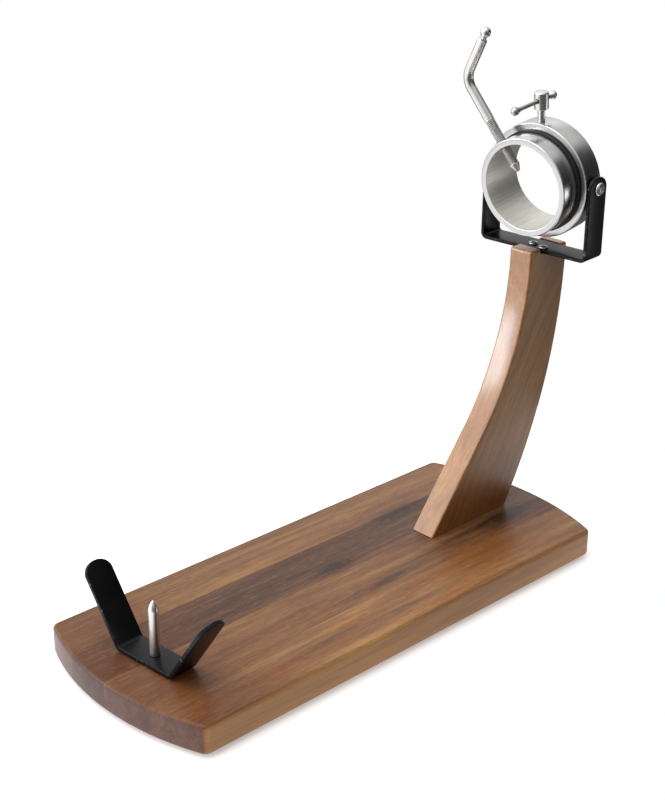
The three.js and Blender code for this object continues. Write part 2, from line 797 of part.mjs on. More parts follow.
function clampLever() {
  const { path, end, tailway } = rodPath();
  const section = new THREE.Shape().absarc(0, 0, CLAMP.rod, 0, 2 * Math.PI, false);
  const rod = new THREE.ExtrudeGeometry(section, {
    steps: 24,
    curveSegments: ROD_SEGMENTS / 2,
    extrudePath: path,
    bevelEnabled: false,
  });
  const socketTop = CLAMP.tipTop + CLAMP.stemLength + GAP;
  const socket = drill(CLAMP.stem + GAP, 0, 0, CLAMP.tipTop - 1, socketTop);
  const toNeck = CLAMP.ball + CLAMP.neckLength;
  const ball = new THREE.SphereGeometry(CLAMP.ball, ROD_SEGMENTS, 12).rotateX(Math.PI / 2);
  const neck = disc(CLAMP.neck, -toNeck, 0, ROD_SEGMENTS);
  const knob = toSolid(ball).add(toSolid(neck));
  const lever = mesh('clamp_lever', cut(toSolid(rod), socket), materials.polished);
  const leverBall = mesh('lever_ball', knob, materials.polished);
  leverBall.position.copy(end).addScaledVector(tailway, toNeck + GAP);
  leverBall.rotation.x = CLAMP.bendAngle;
  const group = new THREE.Group();
  group.add(lever, leverBall);
  return group;
}

function clamp() {
  const group = new THREE.Group();
  group.add(clampTip(), clampLever());
  group.position.x = -CLAMP.ahead;
  group.rotation.x = CLAMP.angle - Math.PI / 2;
  return group;
}

function head() {
  const tilting = new THREE.Group();
  tilting.add(outerRing(), pivots(), sleeve(), thrustWasher(), lockScrew(), clamp());
  tilting.rotation.y = -HEAD_TILT;
  const turnedWithYoke = new THREE.Group();
  turnedWithYoke.add(tilting);
  turnedWithYoke.position.set(SEAT.x, 0, PIVOT_Z);
  turnedWithYoke.rotation.z = YOKE.turn;
  return turnedWithYoke;
}

const stand = new THREE.Group();
stand.add(baseBoard(), feet(), supportArm(), armScrews(), cradle(), spike());
stand.add(yoke(), yokeScrews(), head());
stand.position.x = FRAME_SHIFT;

export default stand;
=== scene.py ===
"""A household ham stand: the looks around its CAD frame.

Every piece is built in metres, in a local frame on the CAD node or joint it belongs to. Places and
overall sizes come from the CAD nodes. Profiles, bends, roundings and grain have sizes of their own.
"""

import json
from math import asin, cos, pi, radians, sin, sqrt, tan
from types import SimpleNamespace as Sizes

import bmesh
import bpy
import numpy as np
from mathutils import Matrix, Quaternion, Vector


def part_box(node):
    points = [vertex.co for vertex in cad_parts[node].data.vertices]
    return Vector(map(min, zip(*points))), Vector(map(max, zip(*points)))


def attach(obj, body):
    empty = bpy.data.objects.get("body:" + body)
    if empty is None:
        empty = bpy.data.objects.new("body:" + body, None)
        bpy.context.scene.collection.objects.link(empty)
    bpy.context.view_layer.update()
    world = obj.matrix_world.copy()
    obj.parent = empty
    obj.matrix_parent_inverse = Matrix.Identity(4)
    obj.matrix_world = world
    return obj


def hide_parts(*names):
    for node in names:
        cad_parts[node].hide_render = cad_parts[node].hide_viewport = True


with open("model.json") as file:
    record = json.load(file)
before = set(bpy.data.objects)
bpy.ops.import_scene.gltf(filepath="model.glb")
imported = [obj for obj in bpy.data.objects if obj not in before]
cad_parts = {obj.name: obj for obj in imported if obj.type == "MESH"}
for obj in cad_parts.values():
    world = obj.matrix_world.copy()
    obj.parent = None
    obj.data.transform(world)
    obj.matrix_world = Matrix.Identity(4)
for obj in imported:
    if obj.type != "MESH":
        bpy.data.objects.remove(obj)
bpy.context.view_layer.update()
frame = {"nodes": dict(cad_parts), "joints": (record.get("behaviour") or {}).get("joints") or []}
MM = 0.001
scene = bpy.context.scene

# ---------- camera ----------

CAMERA_PLACE = (-0.7403, -0.7561, 0.6244)
CAMERA_AZIMUTH = radians(-43.67)
CAMERA_ELEVATION = radians(23.325)
CAMERA_ROLL = radians(0.449)
CAMERA_LENS = 70
CAMERA_SENSOR = 36
CAMERA_CLIP = (0.05, 200)


def make_camera():
    data = bpy.data.cameras.new("camera")
    data.lens = CAMERA_LENS
    data.sensor_width = CAMERA_SENSOR
    data.clip_start, data.clip_end = CAMERA_CLIP
    camera = bpy.data.objects.new("camera", data)
    scene.collection.objects.link(camera)
    flat = cos(CAMERA_ELEVATION)
    back = Vector((sin(CAMERA_AZIMUTH) * flat, -cos(CAMERA_AZIMUTH) * flat, sin(CAMERA_ELEVATION)))
    camera.rotation_mode = "QUATERNION"
    level = (-back).to_track_quat("-Z", "Y")
    camera.rotation_quaternion = level @ Quaternion((0, 0, 1), CAMERA_ROLL)
    camera.location = CAMERA_PLACE
    scene.camera = camera


make_camera()

# ---------- node trees ----------


class Value:
    """An output socket. Its arithmetic adds math nodes, so a formula reads as one."""

    def __init__(self, tree, socket):
        self.tree = tree
        self.socket = socket

    def __add__(self, other):
        return self.tree.math("ADD", self, other)

    def __sub__(self, other):
        return self.tree.math("SUBTRACT", self, other)

    def __rsub__(self, other):
        return self.tree.math("SUBTRACT", other, self)

    def __mul__(self, other):
        return self.tree.math("MULTIPLY", self, other)

    def __truediv__(self, other):
        return self.tree.math("DIVIDE", self, other)

    def __pow__(self, other):
        return self.tree.math("POWER", self, other)

    def __abs__(self):
        return self.tree.math("ABSOLUTE", self)


class Tree:
    """A node tree with short calls. A Value is linked; anything else is set on the input."""

    def __init__(self, tree):
        self.tree = tree
        tree.nodes.clear()

    def add(self, kind, inputs, output=0, **settings):
        """Makes a node and returns one of its outputs, or None where it has none."""
        node = self.tree.nodes.new("ShaderNode" + kind)
        for name, value in settings.items():
            setattr(node, name, value)
        for key, value in inputs.items():
            if isinstance(value, Value):
                self.tree.links.new(value.socket, node.inputs[key])
            else:
                node.inputs[key].default_value = value
        return Value(self, node.outputs[output]) if node.outputs else None

    def math(self, operation, *values):
        return self.add("Math", dict(enumerate(values)), operation=operation)

    def vector(self, operation, *values):
        output = "Value" if operation in ("DOT_PRODUCT", "LENGTH") else 0
        return self.add("VectorMath", dict(enumerate(values)), output, operation=operation)

    def join(self, x, y, z):
        return self.add("CombineXYZ", {0: x, 1: y, 2: z})

    def split(self, vector):
        x = self.add("SeparateXYZ", {0: vector})
        return [Value(self, socket) for socket in x.socket.node.outputs]

    def facing(self, axis):
        """How squarely the surface faces along an axis of the world, from 0 to 1."""
        return abs(self.split(self.add("NewGeometry", {}, "Normal"))[axis])

    def scaled(self, vector, scale, shift=(0, 0, 0)):
        return self.add("Mapping", {"Vector": vector, "Scale": scale, "Location": shift})

    def noise(self, vector, scale, detail=3.0, roughness=0.5, distortion=0.0):
        inputs = {"Vector": vector, "Scale": scale, "Detail": detail, "Roughness": roughness}
        return self.add("TexNoise", {**inputs, "Distortion": distortion}, "Fac")

    def span(self, value, low, high, to_low=0.0, to_high=1.0, smooth=False):
        inputs = {"Value": value, "From Min": low, "From Max": high, "To Min": to_low, "To Max": to_high}
        kind = "SMOOTHSTEP" if smooth else "LINEAR"
        return self.add("MapRange", inputs, interpolation_type=kind)

    def between(self, noise, low, high):
        """A noise's usual range turned into low to high."""
        return self.span(noise, 0.3, 0.7, low, high)

    def mix(self, factor, first, second, blend="MIX"):
        inputs = {"Factor": factor, "A": first, "B": second}
        return self.add("Mix", inputs, "Result", data_type="RGBA", blend_type=blend)

    def shaded(self, color, shade):
        return self.mix(1.0, color, self.join(shade, shade, shade), "MULTIPLY")

    def ramp(self, factor, stops, interpolation="LINEAR"):
        output = self.add("ValToRGB", {"Fac": factor}, "Color")
        ramp = output.socket.node.color_ramp
        ramp.interpolation = interpolation
        while len(ramp.elements) < len(stops):
            ramp.elements.new(0.5)
        for element, (place, color) in zip(ramp.elements, stops):
            element.position = place
            element.color = color
        return output


def rgb(red, green, blue):
    """A colour given as 0 to 255 display values, as linear light."""
    def linear(value):
        value /= 255
        return value / 12.92 if value <= 0.04045 else ((value + 0.055) / 1.055) ** 2.4
    return (linear(red), linear(green), linear(blue), 1.0)


MATERIALS = {}  # by slot; the CAD nodes bring plain ones of the same names


def new_material(name):
    """A material's tree, and the point on the surface in its object's own coordinates."""
    material = MATERIALS[name] = bpy.data.materials.new(name)
    material.use_nodes = True
    tree = Tree(material.node_tree)
    return tree, tree.add("TexCoord", {}, "Object")


def surface(tree, color, roughness, height=None, bump=0.0, bump_size=0.0, coat=0.0, **constants):
    """The closing nodes of a material. The constants are set on the shader's own sockets."""
    inputs = {"Base Color": color, "Roughness": roughness, "Coat Weight": coat}
    inputs.update({name.replace("_", " "): value for name, value in constants.items()})
    if height is not None:
        bumped = {"Height": height, "Strength": bump, "Distance": bump_size}
        inputs["Normal"] = tree.add("Bump", bumped)
    tree.add("OutputMaterial", {"Surface": tree.add("BsdfPrincipled", inputs)})


# ---------- wood ----------


def ring_lines(tree, point, heart, density, wander):
    """Growth-ring lines round a heart that lies beside the plank, wandering along the grain (X)."""
    slow = tree.noise(tree.scaled(point, (5, 22, 22)), 1.0, 2.0)
    _, across, up = tree.split(tree.vector("SUBTRACT", point, heart))
    radius = tree.vector("LENGTH", tree.join(0.0, across, up))
    return tree.math("PINGPONG", (radius + slow * wander) * density, 1.0)


def streaks(tree, point):
    """Broad, middling and fine streaks along the grain (X), each from 0 to 1."""
    broad = tree.noise(tree.scaled(point, (3.6, 80, 60)), 1.0, 5.0, 0.62, 0.5)
    middling = tree.noise(tree.scaled(point, (14, 480, 380)), 1.0, 4.0, 0.65, 0.3)
    fine = tree.noise(tree.scaled(point, (110, 1000, 900)), 1.0, 4.0, 0.75)
    return broad, middling, fine


def speckled(tree, fine, color, pore, pore_color, fleck, fleck_color):
    """Dark pores and light flecks over a colour. pore is (where full, how strong), fleck a strength."""
    pores = tree.span(fine, 0.5, pore[0], 0.0, pore[1])
    color = tree.mix(pores, color, pore_color)
    flecks = tree.span(fine, 0.48, 0.3, 0.0, fleck)
    return tree.mix(flecks, color, fleck_color)


def spot(tree, x, y, place, half_size, sharpness=1.0):
    """How near (x, y) is to an oval spot's middle, from 0 to 1, and how far across it. In mm."""
    along = (x - place[0] * MM) / (half_size[0] * MM)
    across = (y - place[1] * MM) / (half_size[1] * MM)
    return tree.math("EXPONENT", (along * along + across * across) * -sharpness), across


# Knots in the board: place along and across it, half length and half width (mm), and darkness.
KNOTS = [
    ((8, 8), (15, 5.5), 0.85),
    ((110, 41), (26, 6), 0.8),
    ((168, -27), (20, 7), 0.7),
    ((15, -34), (30, 5), 0.35),
]
KNOT_SHARPNESS = 0.8
KNOT_PUSH = 0.75  # how far grain lines part round a knot, of its half width
STAVES = 4
STAVE_LIFTS = (0.56, 0.45, 0.26, 0.48)  # from the right, seen from the cradle's end, to the left
BOARD_COLORS = [
    (0.08, rgb(44, 28, 20)),
    (0.26, rgb(78, 50, 34)),
    (0.4, rgb(106, 71, 45)),
    (0.54, rgb(132, 93, 57)),
    (0.7, rgb(158, 116, 70)),
    (0.86, rgb(184, 142, 90)),
]
END_COLORS = [(0.2, rgb(58, 38, 36)), (0.45, rgb(86, 62, 57)), (0.7, rgb(112, 84, 76))]
LONG_SIDE_COLORS = [(0.2, rgb(104, 68, 42)), (0.6, rgb(164, 120, 78))]


def knots(tree, x, y):
    """y with its grain lines parted round each knot, and how dark the knots make the wood."""
    bent_y = y
    darkness = 0.0
    for place, half_size, dark in KNOTS:
        near, across = spot(tree, x, y, place, half_size, KNOT_SHARPNESS)
        bent_y = bent_y + across * near * (-KNOT_PUSH * half_size[1] * MM)
        darkness = tree.math("MAXIMUM", darkness, near * dark)
    return bent_y, darkness


def board_tone(tree, x, stave, grain, darkness):
    """How light the wood is, with its middling and fine streaks."""
    broad, middling, fine = streaks(tree, grain)
    lines = ring_lines(tree, grain, (0, -0.12, -0.2), 190.0, 0.045)
    # The left-hand stave is the plainest.
    contrast = tree.span(stave, 2.0, 3.0, 0.84, 0.45)
    tone = (broad - 0.5) * contrast + 0.42 + middling * 0.42 + lines * 0.06 - 0.17
    lifts = [(i / STAVES, (lift, lift, lift, 1)) for i, lift in enumerate(STAVE_LIFTS)]
    lift = tree.ramp((stave + 0.5) / float(STAVES), lifts, "CONSTANT")
    tone = tone + (lift - 0.5)
    # The second stave darkens towards the arm.
    arm_end = tree.span(x, -20 * MM, 120 * MM, smooth=True)
    second = tree.math("COMPARE", stave, 1.0, 0.1)
    return tone - arm_end * second * 0.14 - darkness * 0.42, middling, fine


def board_wood(box):
    low, high = box
    tree, point = new_material("board_wood")
    x, y, z = tree.split(point)
    bent_y, darkness = knots(tree, x, y)
    across = (y - low.y) / ((high.y - low.y) / STAVES)
    stave = tree.math("FLOOR", across)
    # Each stave is cut from elsewhere in the tree.
    grain = tree.join(x + stave * 3.1, bent_y + stave * 0.37, z + stave * 0.11)
    tone, middling, fine = board_tone(tree, x, stave, grain, darkness)
    color = tree.ramp(tone, BOARD_COLORS)
    # Amber heartwood in the right-hand stave, most of all in its far half.
    amber = tree.noise(tree.scaled(grain, (7, 60, 60)), 1.0, 2.0)
    amber = tree.span(amber, 0.45, 0.75, 0.0, 0.75, smooth=True)
    first = tree.math("LESS_THAN", stave, 0.5)
    color = tree.mix(amber * first, color, rgb(142, 82, 36))
    heart, _ = spot(tree, x, y, (128, -56), (62, 20))
    color = tree.mix(heart * 0.85, color, rgb(112, 66, 26))
    # The cradle's end is darker and redder.
    near_end = tree.span(x, -90 * MM, -190 * MM, 0.0, 0.6, smooth=True)
    color = tree.mix(near_end, color, rgb(90, 48, 21))
    red = tree.noise(tree.scaled(grain, (4, 40, 40), (3, 1, 2)), 1.0, 2.0)
    color = tree.mix(tree.span(red, 0.5, 0.8, 0.0, 0.5), color, rgb(96, 52, 36))
    color = speckled(tree, fine, color, (0.68, 0.45), rgb(62, 40, 28), 0.22, rgb(176, 132, 88))
    # The glue lines between staves.
    seam = tree.math("FRACT", across)
    seam = tree.math("MINIMUM", seam, 1.0 - seam)
    color = tree.mix(tree.span(seam, 0.0, 0.009, 0.35, 0.0), color, rgb(60, 40, 32))
    # End grain is duller and a little pink, and the long sides are paler.
    endwise = tree.span(tree.facing(0), 0.55, 0.9, smooth=True)
    end_speckle = tree.noise(tree.scaled(point, (500, 700, 700)), 1.0, 2.0, 0.6)
    end_color = tree.ramp(tone * 0.55 + end_speckle * 0.35, END_COLORS)
    color = tree.mix(endwise * 0.85, color, end_color)
    sidewise = tree.span(tree.facing(1), 0.5, 0.95, 0.0, 0.85, smooth=True)
    color = tree.mix(sidewise, color, tree.ramp(tone, LONG_SIDE_COLORS))
    roughness = tree.between(middling, 0.3, 0.42)
    height = fine * 0.5 + middling * 0.5
    surface(tree, color, roughness, height, 0.12, 0.4 * MM, Specular_IOR_Level=0.22)


ARM_GRAIN_LEAN = radians(27)  # the arm's plank runs up and back at this angle
ARM_GRAIN_BEND = 0.35  # 1/m, how the grain bows along the arm
ARM_EDGES = [(0.25, rgb(112, 67, 28)), (0.45, rgb(146, 94, 42)), (0.6, rgb(168, 118, 60))]
ARM_FACES = [(0.25, rgb(94, 57, 27)), (0.45, rgb(142, 98, 52)), (0.6, rgb(166, 118, 66))]


def arm_wood():
    tree, point = new_material("arm_wood")
    x, y, z = tree.split(point)
    along = x * sin(ARM_GRAIN_LEAN) + z * cos(ARM_GRAIN_LEAN)
    across = x * cos(ARM_GRAIN_LEAN) - z * sin(ARM_GRAIN_LEAN)
    grain = tree.join(along, across + along * along * -ARM_GRAIN_BEND, y)
    broad, middling, fine = streaks(tree, grain)
    lines = ring_lines(tree, grain, (0, 0.3, 0.16), 230.0, 0.03)
    tone = broad * 0.5 + middling * 0.36 + lines * 0.06
    # The broad faces are cut through other wood than the front and back. Painted shade: they darken
    # towards the foot, next to the board.
    painted_foot_shade = tree.span(z, 0.0, 70 * MM, 0.7, 0.0, smooth=True)
    broad_cut = tree.mix(painted_foot_shade, tree.ramp(tone, ARM_FACES), rgb(108, 57, 17))
    sidewise = tree.facing(1)
    edge_cut = tree.ramp(tone, ARM_EDGES)
    color = tree.mix(tree.span(sidewise, 0.55, 0.95, smooth=True), edge_cut, broad_cut)
    color = speckled(tree, fine, color, (0.7, 0.42), rgb(92, 58, 34), 0.2, rgb(196, 150, 104))
    roughness = tree.between(middling, 0.34, 0.46)
    height = fine * 0.6 + middling * 0.4
    # The front and back are lacquered more thickly than the broad faces.
    coat = tree.span(sidewise, 0.55, 0.95, 0.8, 0.04, smooth=True)
    surface(tree, color, roughness, height, 0.12, 0.4 * MM, coat, Coat_Roughness=0.18, Coat_IOR=1.75)


# ---------- metals, paint, plastic and rubber ----------

# The bore's lighter, warmer tint, which is painted light.
BORE_TINT_PAINTED_LIGHTER = (0.8, 0.775, 0.72, 1)
BORE_ROUGHNESS = 0.27  # more than the outside's
# How much the end faces are darkened: duller steel, with a painted reflection.
FACED_DULLING_AND_PAINTED_REFLECTION = 0.78


def turned_steel(name, color, low_roughness, high_roughness, bore):
    """Steel turned on a lathe: fine lines round the local X axis, and a duller satin bore painted in a
    lighter tint.
    """
    tree, point = new_material(name)
    x, y, z = tree.split(point)
    radius = tree.vector("LENGTH", tree.join(0.0, y, z))
    lines = tree.noise(tree.join(x, radius, 0.0), 5200.0, 2.0, 0.7)
    blotches = tree.noise(point, 90.0, 3.0, 0.6)
    tint = tree.shaded(color, tree.between(lines, 0.82, 1.05))
    roughness = tree.between(lines * 0.5 + blotches * 0.5, low_roughness, high_roughness)
    bored = tree.span(radius, bore + 0.5 * MM, bore + 0.9 * MM, 1.0, 0.0)
    roughness = roughness + bored * BORE_ROUGHNESS
    # Polishing marks run along the bore.
    round_bore = tree.math("ARCTAN2", y, z)
    marks = tree.noise(tree.join(round_bore * 26.0, x * 30.0, 0.0), 1.0, 4.0, 0.7)
    painted_lighter_bore_tint = tree.shaded(BORE_TINT_PAINTED_LIGHTER, tree.span(marks, 0.35, 0.65, 0.84, 1.04))
    # Painted light: the bore is tinted lighter and warmer than the outside, standing in for the light
    # gathered inside it.
    tint = tree.mix(bored, tint, painted_lighter_bore_tint)
    # The end faces are duller than the turned outside; their darker, bluer tint is also a painted
    # reflection of dim bluish light.
    faced_dulling_and_painted_reflection = tree.span(tree.facing(0), 0.9, 0.98, 1.0, FACED_DULLING_AND_PAINTED_REFLECTION)
    tint = tree.mix(1.0, tint, tree.join(faced_dulling_and_painted_reflection, faced_dulling_and_painted_reflection ** 0.93, faced_dulling_and_painted_reflection ** 0.8), "MULTIPLY")
    surface(tree, tint, roughness, lines, 0.1, 0.1 * MM, Metallic=1.0)


# The colour of grime and painted shade in thread roots.
ROOT_GRIME_AND_PAINTED_SHADE = (0.12, 0.11, 0.1, 1)


def plain_metal(name, color, low_roughness, high_roughness, scale=140.0, bump=0.05):
    """Polished, plated or drawn metal with faint blotches, scratches, and thread roots darkened by grime
    and painted shade.
    """
    tree, point = new_material(name)
    blotches = tree.noise(point, scale, 3.0, 0.6)
    scratches = tree.noise(tree.scaled(point, (9.0, 0.7, 0.7)), 420.0, 3.0, 0.7, 1.5)
    tint = tree.shaded(color, tree.between(blotches, 0.88, 1.0))
    # Painted shade with grime: the thread roots, marked by a vertex attribute, are darkened.
    root_grime_and_painted_shade = tree.add("Attribute", {}, "Fac", attribute_name="root_grime_and_painted_shade")
    tint = tree.mix(root_grime_and_painted_shade, tint, ROOT_GRIME_AND_PAINTED_SHADE)
    roughness = tree.between(blotches * 0.6 + scratches * 0.4, low_roughness, high_roughness)
    surface(tree, tint, roughness, scratches, bump, 0.1 * MM, Metallic=1.0)


STRIP_WIDTH = 23 * MM  # of the cradle's and the yoke's flat bar
WORN_EDGE = (0.8 * MM, 0.1 * MM)  # from an edge of the bar


def black_paint():
    """Glossy paint on a strip that lies across local X, a little worn along its two edges."""
    tree, point = new_material("black_paint")
    from_edge = [STRIP_WIDTH / 2 - distance for distance in WORN_EDGE]
    wear = tree.span(abs(tree.split(point)[0]), *from_edge)
    orange_peel = tree.noise(point, 900.0, 2.0, 0.5)
    dust = tree.noise(point, 60.0, 4.0, 0.6)
    chips = tree.span(tree.noise(point, 170.0, 4.0, 0.65), 0.6, 0.72) * wear
    color = tree.mix(tree.span(dust, 0.4, 0.8, 0.0, 0.4), rgb(9, 9, 11), rgb(17, 17, 19))
    color = tree.mix(chips, color, rgb(120, 122, 126))
    roughness = tree.between(dust, 0.24, 0.36)
    surface(tree, color, roughness, orange_peel, 0.05, 0.2 * MM, Specular_IOR_Level=0.16)


def moulded(name, color, roughness, scale, bump):
    """Rubber or nylon: slightly uneven in colour, with a fine moulded texture."""
    tree, point = new_material(name)
    blotches = tree.noise(point, 120.0, 3.0, 0.6)
    texture = tree.noise(point, scale, 2.0, 0.6)
    tint = tree.shaded(color, tree.between(blotches, 0.7, 1.15))
    rough = tree.between(texture, roughness - 0.06, roughness + 0.06)
    surface(tree, tint, rough, texture, bump, 0.3 * MM)


SLEEVE = Sizes(outer=39.75 * MM, neck=37.6 * MM, bore=34.65 * MM, groove=36 * MM)

board_wood(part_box("base_board"))
arm_wood()
black_paint()
turned_steel("ring_steel", (0.62, 0.612, 0.605, 1), 0.17, 0.28, SLEEVE.bore)
plain_metal("spike_steel", (0.72, 0.71, 0.69, 1), 0.26, 0.4)
plain_metal("bar_steel", (0.46, 0.45, 0.45, 1), 0.24, 0.36)
plain_metal("polished_steel", (0.7, 0.69, 0.68, 1), 0.2, 0.32, bump=0.0)
plain_metal("zinc", (0.66, 0.67, 0.69, 1), 0.22, 0.4, 260.0)
moulded("nylon", rgb(22, 22, 23), 0.5, 1500.0, 0.1)
plain_metal("brass", (0.72, 0.55, 0.28, 1), 0.2, 0.34)
moulded("rubber", rgb(30, 30, 31), 0.75, 900.0, 0.3)

# ---------- outlines ----------


def rounded(points, radii, steps=5, closed=True):
    """A 2-D outline with its corners turned into arcs. radii is one number, or one per corner."""
    if not hasattr(radii, "__len__"):
        radii = [radii] * len(points)
    made = []
    count = len(points)
    for i, (corner, radius) in enumerate(zip(points, radii)):
        here = Vector(corner)
        if radius <= 0 or (not closed and i in (0, count - 1)):
            made.append(tuple(here))
            continue
        back = Vector(points[i - 1]) - here
        ahead = Vector(points[(i + 1) % count]) - here
        angle = back.angle(ahead)
        setback = min(radius / tan(angle / 2), 0.49 * back.length, 0.49 * ahead.length)
        radius = setback * tan(angle / 2)
        middle = (back.normalized() + ahead.normalized()).normalized()
        centre = here + middle * (radius / sin(angle / 2))
        start = here + back.normalized() * setback - centre
        sweep = start.angle_signed(here + ahead.normalized() * setback - centre)
        for k in range(steps + 1):
            turn = Matrix.Rotation(-sweep * k / steps, 2)
            made.append(tuple(centre + turn @ start))
    return made


def arc(centre, radius, start, end, steps):
    """Points along an arc, from angle start to angle end."""
    angles = [start + (end - start) * k / steps for k in range(steps + 1)]
    return [(centre[0] + radius * cos(a), centre[1] + radius * sin(a)) for a in angles]


def hexagon(across):
    radius = across / sqrt(3)
    return [(radius * cos(k * pi / 3), radius * sin(k * pi / 3)) for k in range(6)]


def dome(inset, base, width, height, steps, sweep=pi / 2, power=1.0):
    """Profile points of a screw head's crown, from its rim at the height base up to angle sweep."""
    turns = [sweep * k / steps for k in range(steps + 1)]
    return [(inset + width * cos(t) ** power, base + height * sin(t)) for t in turns]


def inset_points(outline, depth):
    """The outline moved inwards by depth. It runs anticlockwise."""
    made = []
    count = len(outline)
    for i in range(count):
        here = Vector(outline[i])
        before = (here - Vector(outline[i - 1])).normalized()
        after = (Vector(outline[(i + 1) % count]) - here).normalized()
        inwards = Vector((-before.y - after.y, before.x + after.x)).normalized()
        lean = max(0.4, inwards.dot(Vector((-after.y, after.x))))
        made.append(here + inwards * (depth / lean))
    return made


# ---------- meshes ----------


def lathe(profile, segments=96, closed=False):
    """Turns (radius, z) points about Z. A closed profile makes a tube; an open one ends on the axis."""
    bm = bmesh.new()
    angles = [2 * pi * k / segments for k in range(segments)]
    rings = []
    for radius, z in profile:
        if radius < 1e-7:
            rings.append([bm.verts.new((0, 0, z))])
        else:
            rings.append([bm.verts.new((radius * cos(a), radius * sin(a), z)) for a in angles])
    if closed:
        rings.append(rings[0])
    for one, two in zip(rings, rings[1:]):
        for k in range(segments):
            corners = [one[k % len(one)], one[(k + 1) % len(one)]]
            corners += [two[(k + 1) % len(two)], two[k % len(two)]]
            corners = list(dict.fromkeys(corners))
            if len(corners) > 2:
                bm.faces.new(corners)
    return bm


def skinned(bm, loops):
    """Faces between successive loops of as many points each, and over the first and the last."""
    for one, two in zip(loops, loops[1:]):
        for i in range(len(one)):
            j = (i + 1) % len(one)
            bm.faces.new((one[i], one[j], two[j], two[i]))
    bm.faces.new(list(reversed(loops[0])))
    bm.faces.new(loops[-1])
    return bm


def plate(outline, low, high, edge, steps=5):
    """An outline in X and Y made solid from low to high in Z, with rounded edges."""
    bm = bmesh.new()
    rows = []
    for k in range(steps + 1):
        angle = pi / 2 * k / steps
        rows.append((edge * (1 - sin(angle)), low + edge * (1 - cos(angle))))
    rows += [(inset, high + low - z) for inset, z in reversed(rows)]
    loops = []
    for inset, z in rows:
        loops.append([bm.verts.new((p[0], p[1], z)) for p in inset_points(outline, inset)])
    return skinned(bm, loops)


def prism(outline, low, high):
    return plate(outline, low, high, 0.01 * MM, steps=1)


def cylinder(radius, low, high, segments=48):
    return lathe([(0, low), (radius, low), (radius, high), (0, high)], segments)


def band(inner, outer, low, high, bevels, segments=72, steps=5):
    """A turned band of rectangular section, with its edges eased."""
    corners = [(inner, low), (outer, low), (outer, high), (inner, high)]
    return lathe(rounded(corners, bevels, steps), segments, closed=True)


def box_mesh(low, high):
    bm = bmesh.new()
    size = Vector(high) - Vector(low)
    middle = (Vector(high) + Vector(low)) / 2
    bmesh.ops.create_cube(bm, size=1, matrix=Matrix.Translation(middle) @ Matrix.Diagonal((*size, 1)))
    return bm


def moved(bm, matrix):
    bmesh.ops.transform(bm, matrix=matrix, verts=bm.verts)
    return bm


def new_object(name, bm):
    mesh = bpy.data.meshes.new(name)
    bm.to_mesh(mesh)
    bm.free()
    made = bpy.data.objects.new(name, mesh)
    scene.collection.objects.link(made)
    return made


def added(bm, other):
    """The faces of other put into bm, which keeps them as a loose shell."""
    mesh = bpy.data.meshes.new("scratch")
    other.to_mesh(mesh)
    other.free()
    bm.from_mesh(mesh)
    bpy.data.meshes.remove(mesh)
    return bm


def combined(bm, cutters, operation="DIFFERENCE"):
    """bm with each cutter taken out of it, or with what it shares with each."""
    parts = []
    for part in (bm, *cutters):
        bmesh.ops.recalc_face_normals(part, faces=part.faces)
        parts.append(new_object("scratch", part))
    body = parts[0]
    for tool in parts[1:]:
        modifier = body.modifiers.new("tool", "BOOLEAN")
        modifier.operation = operation
        modifier.solver = "EXACT"
        modifier.object = tool
    result = bmesh.new()
    result.from_object(body, bpy.context.evaluated_depsgraph_get())
    for part in parts:
        mesh = part.data
        bpy.data.objects.remove(part)
        bpy.data.meshes.remove(mesh)
    return result


LYING_X = Matrix.Rotation(-pi / 2, 4, "Y")  # lays +Z along -X, a collar's forward
LYING_Y = Matrix.Rotation(-pi / 2, 4, "X")  # lays +Z along +Y
STANDING = Matrix(((1, 0, 0, 0), (0, 0, -1, 0), (0, 1, 0, 0), (0, 0, 0, 1)))  # lays +Y along +Z
SAME_POINT = 0.1e-6
SHARP = 32  # degrees between faces from which an edge is shown as sharp


def shown(name, bm, place, body, slot, node, sharp=SHARP):
    """Makes bm a piece in the frame place, riding on body and standing for the CAD node."""
    bmesh.ops.remove_doubles(bm, verts=bm.verts, dist=SAME_POINT)
    bmesh.ops.recalc_face_normals(bm, faces=bm.faces)
    piece = new_object(name, bm)
    piece.data.shade_smooth()
    piece.data.set_sharp_from_angle(angle=radians(sharp))
    piece.data.materials.append(MATERIALS[slot])
    piece.matrix_world = place
    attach(piece, body)
    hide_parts(node)


# ---------- the frame's places and sizes ----------

JOINTS = {joint["name"]: joint for joint in frame["joints"]}
GAP = 0.3 * MM


def axis_of(joint):
    return Vector(JOINTS[joint]["axis"]).normalized()


def joint_frame(joint, x, y, z):
    """A frame at a joint's place, with these axes."""
    matrix = Matrix((x, y, z)).transposed().to_4x4()
    matrix.translation = Vector(JOINTS[joint]["pos_m"])
    return matrix


def head_frame():
    """The tilting head's frame: origin at the pivots, X back along the collar, Z up the lock screw."""
    back, left = axis_of("sleeve_spin"), axis_of("head_tilt")
    return joint_frame("head_tilt", back, left, back.cross(left))


def clamp_frame():
    """The clamp's frame: Z out along the screw, and the rod's tail bent towards -Y."""
    back, out = axis_of("sleeve_spin"), axis_of("clamp_turn")
    return joint_frame("clamp_turn", back, out.cross(back), out)


def lock_frame():
    """The lock screw's frame: Z up the screw, X back."""
    matrix = HEAD.copy()
    matrix.translation = Vector(JOINTS["lock_turn"]["pos_m"])
    return matrix


HEAD = head_frame()
CLAMP = clamp_frame()
LOCK = lock_frame()


def cad_points(node, place=None):
    """A CAD node's vertices in the local frame of place."""
    inverse = (place or Matrix.Identity(4)).inverted()
    return np.array([inverse @ v.co for v in frame["nodes"][node].data.vertices])


def cad_size(node, place):
    """Lowest and highest corner of a CAD node in the local frame of place."""
    points = cad_points(node, place)
    return Vector(points.min(0)), Vector(points.max(0))


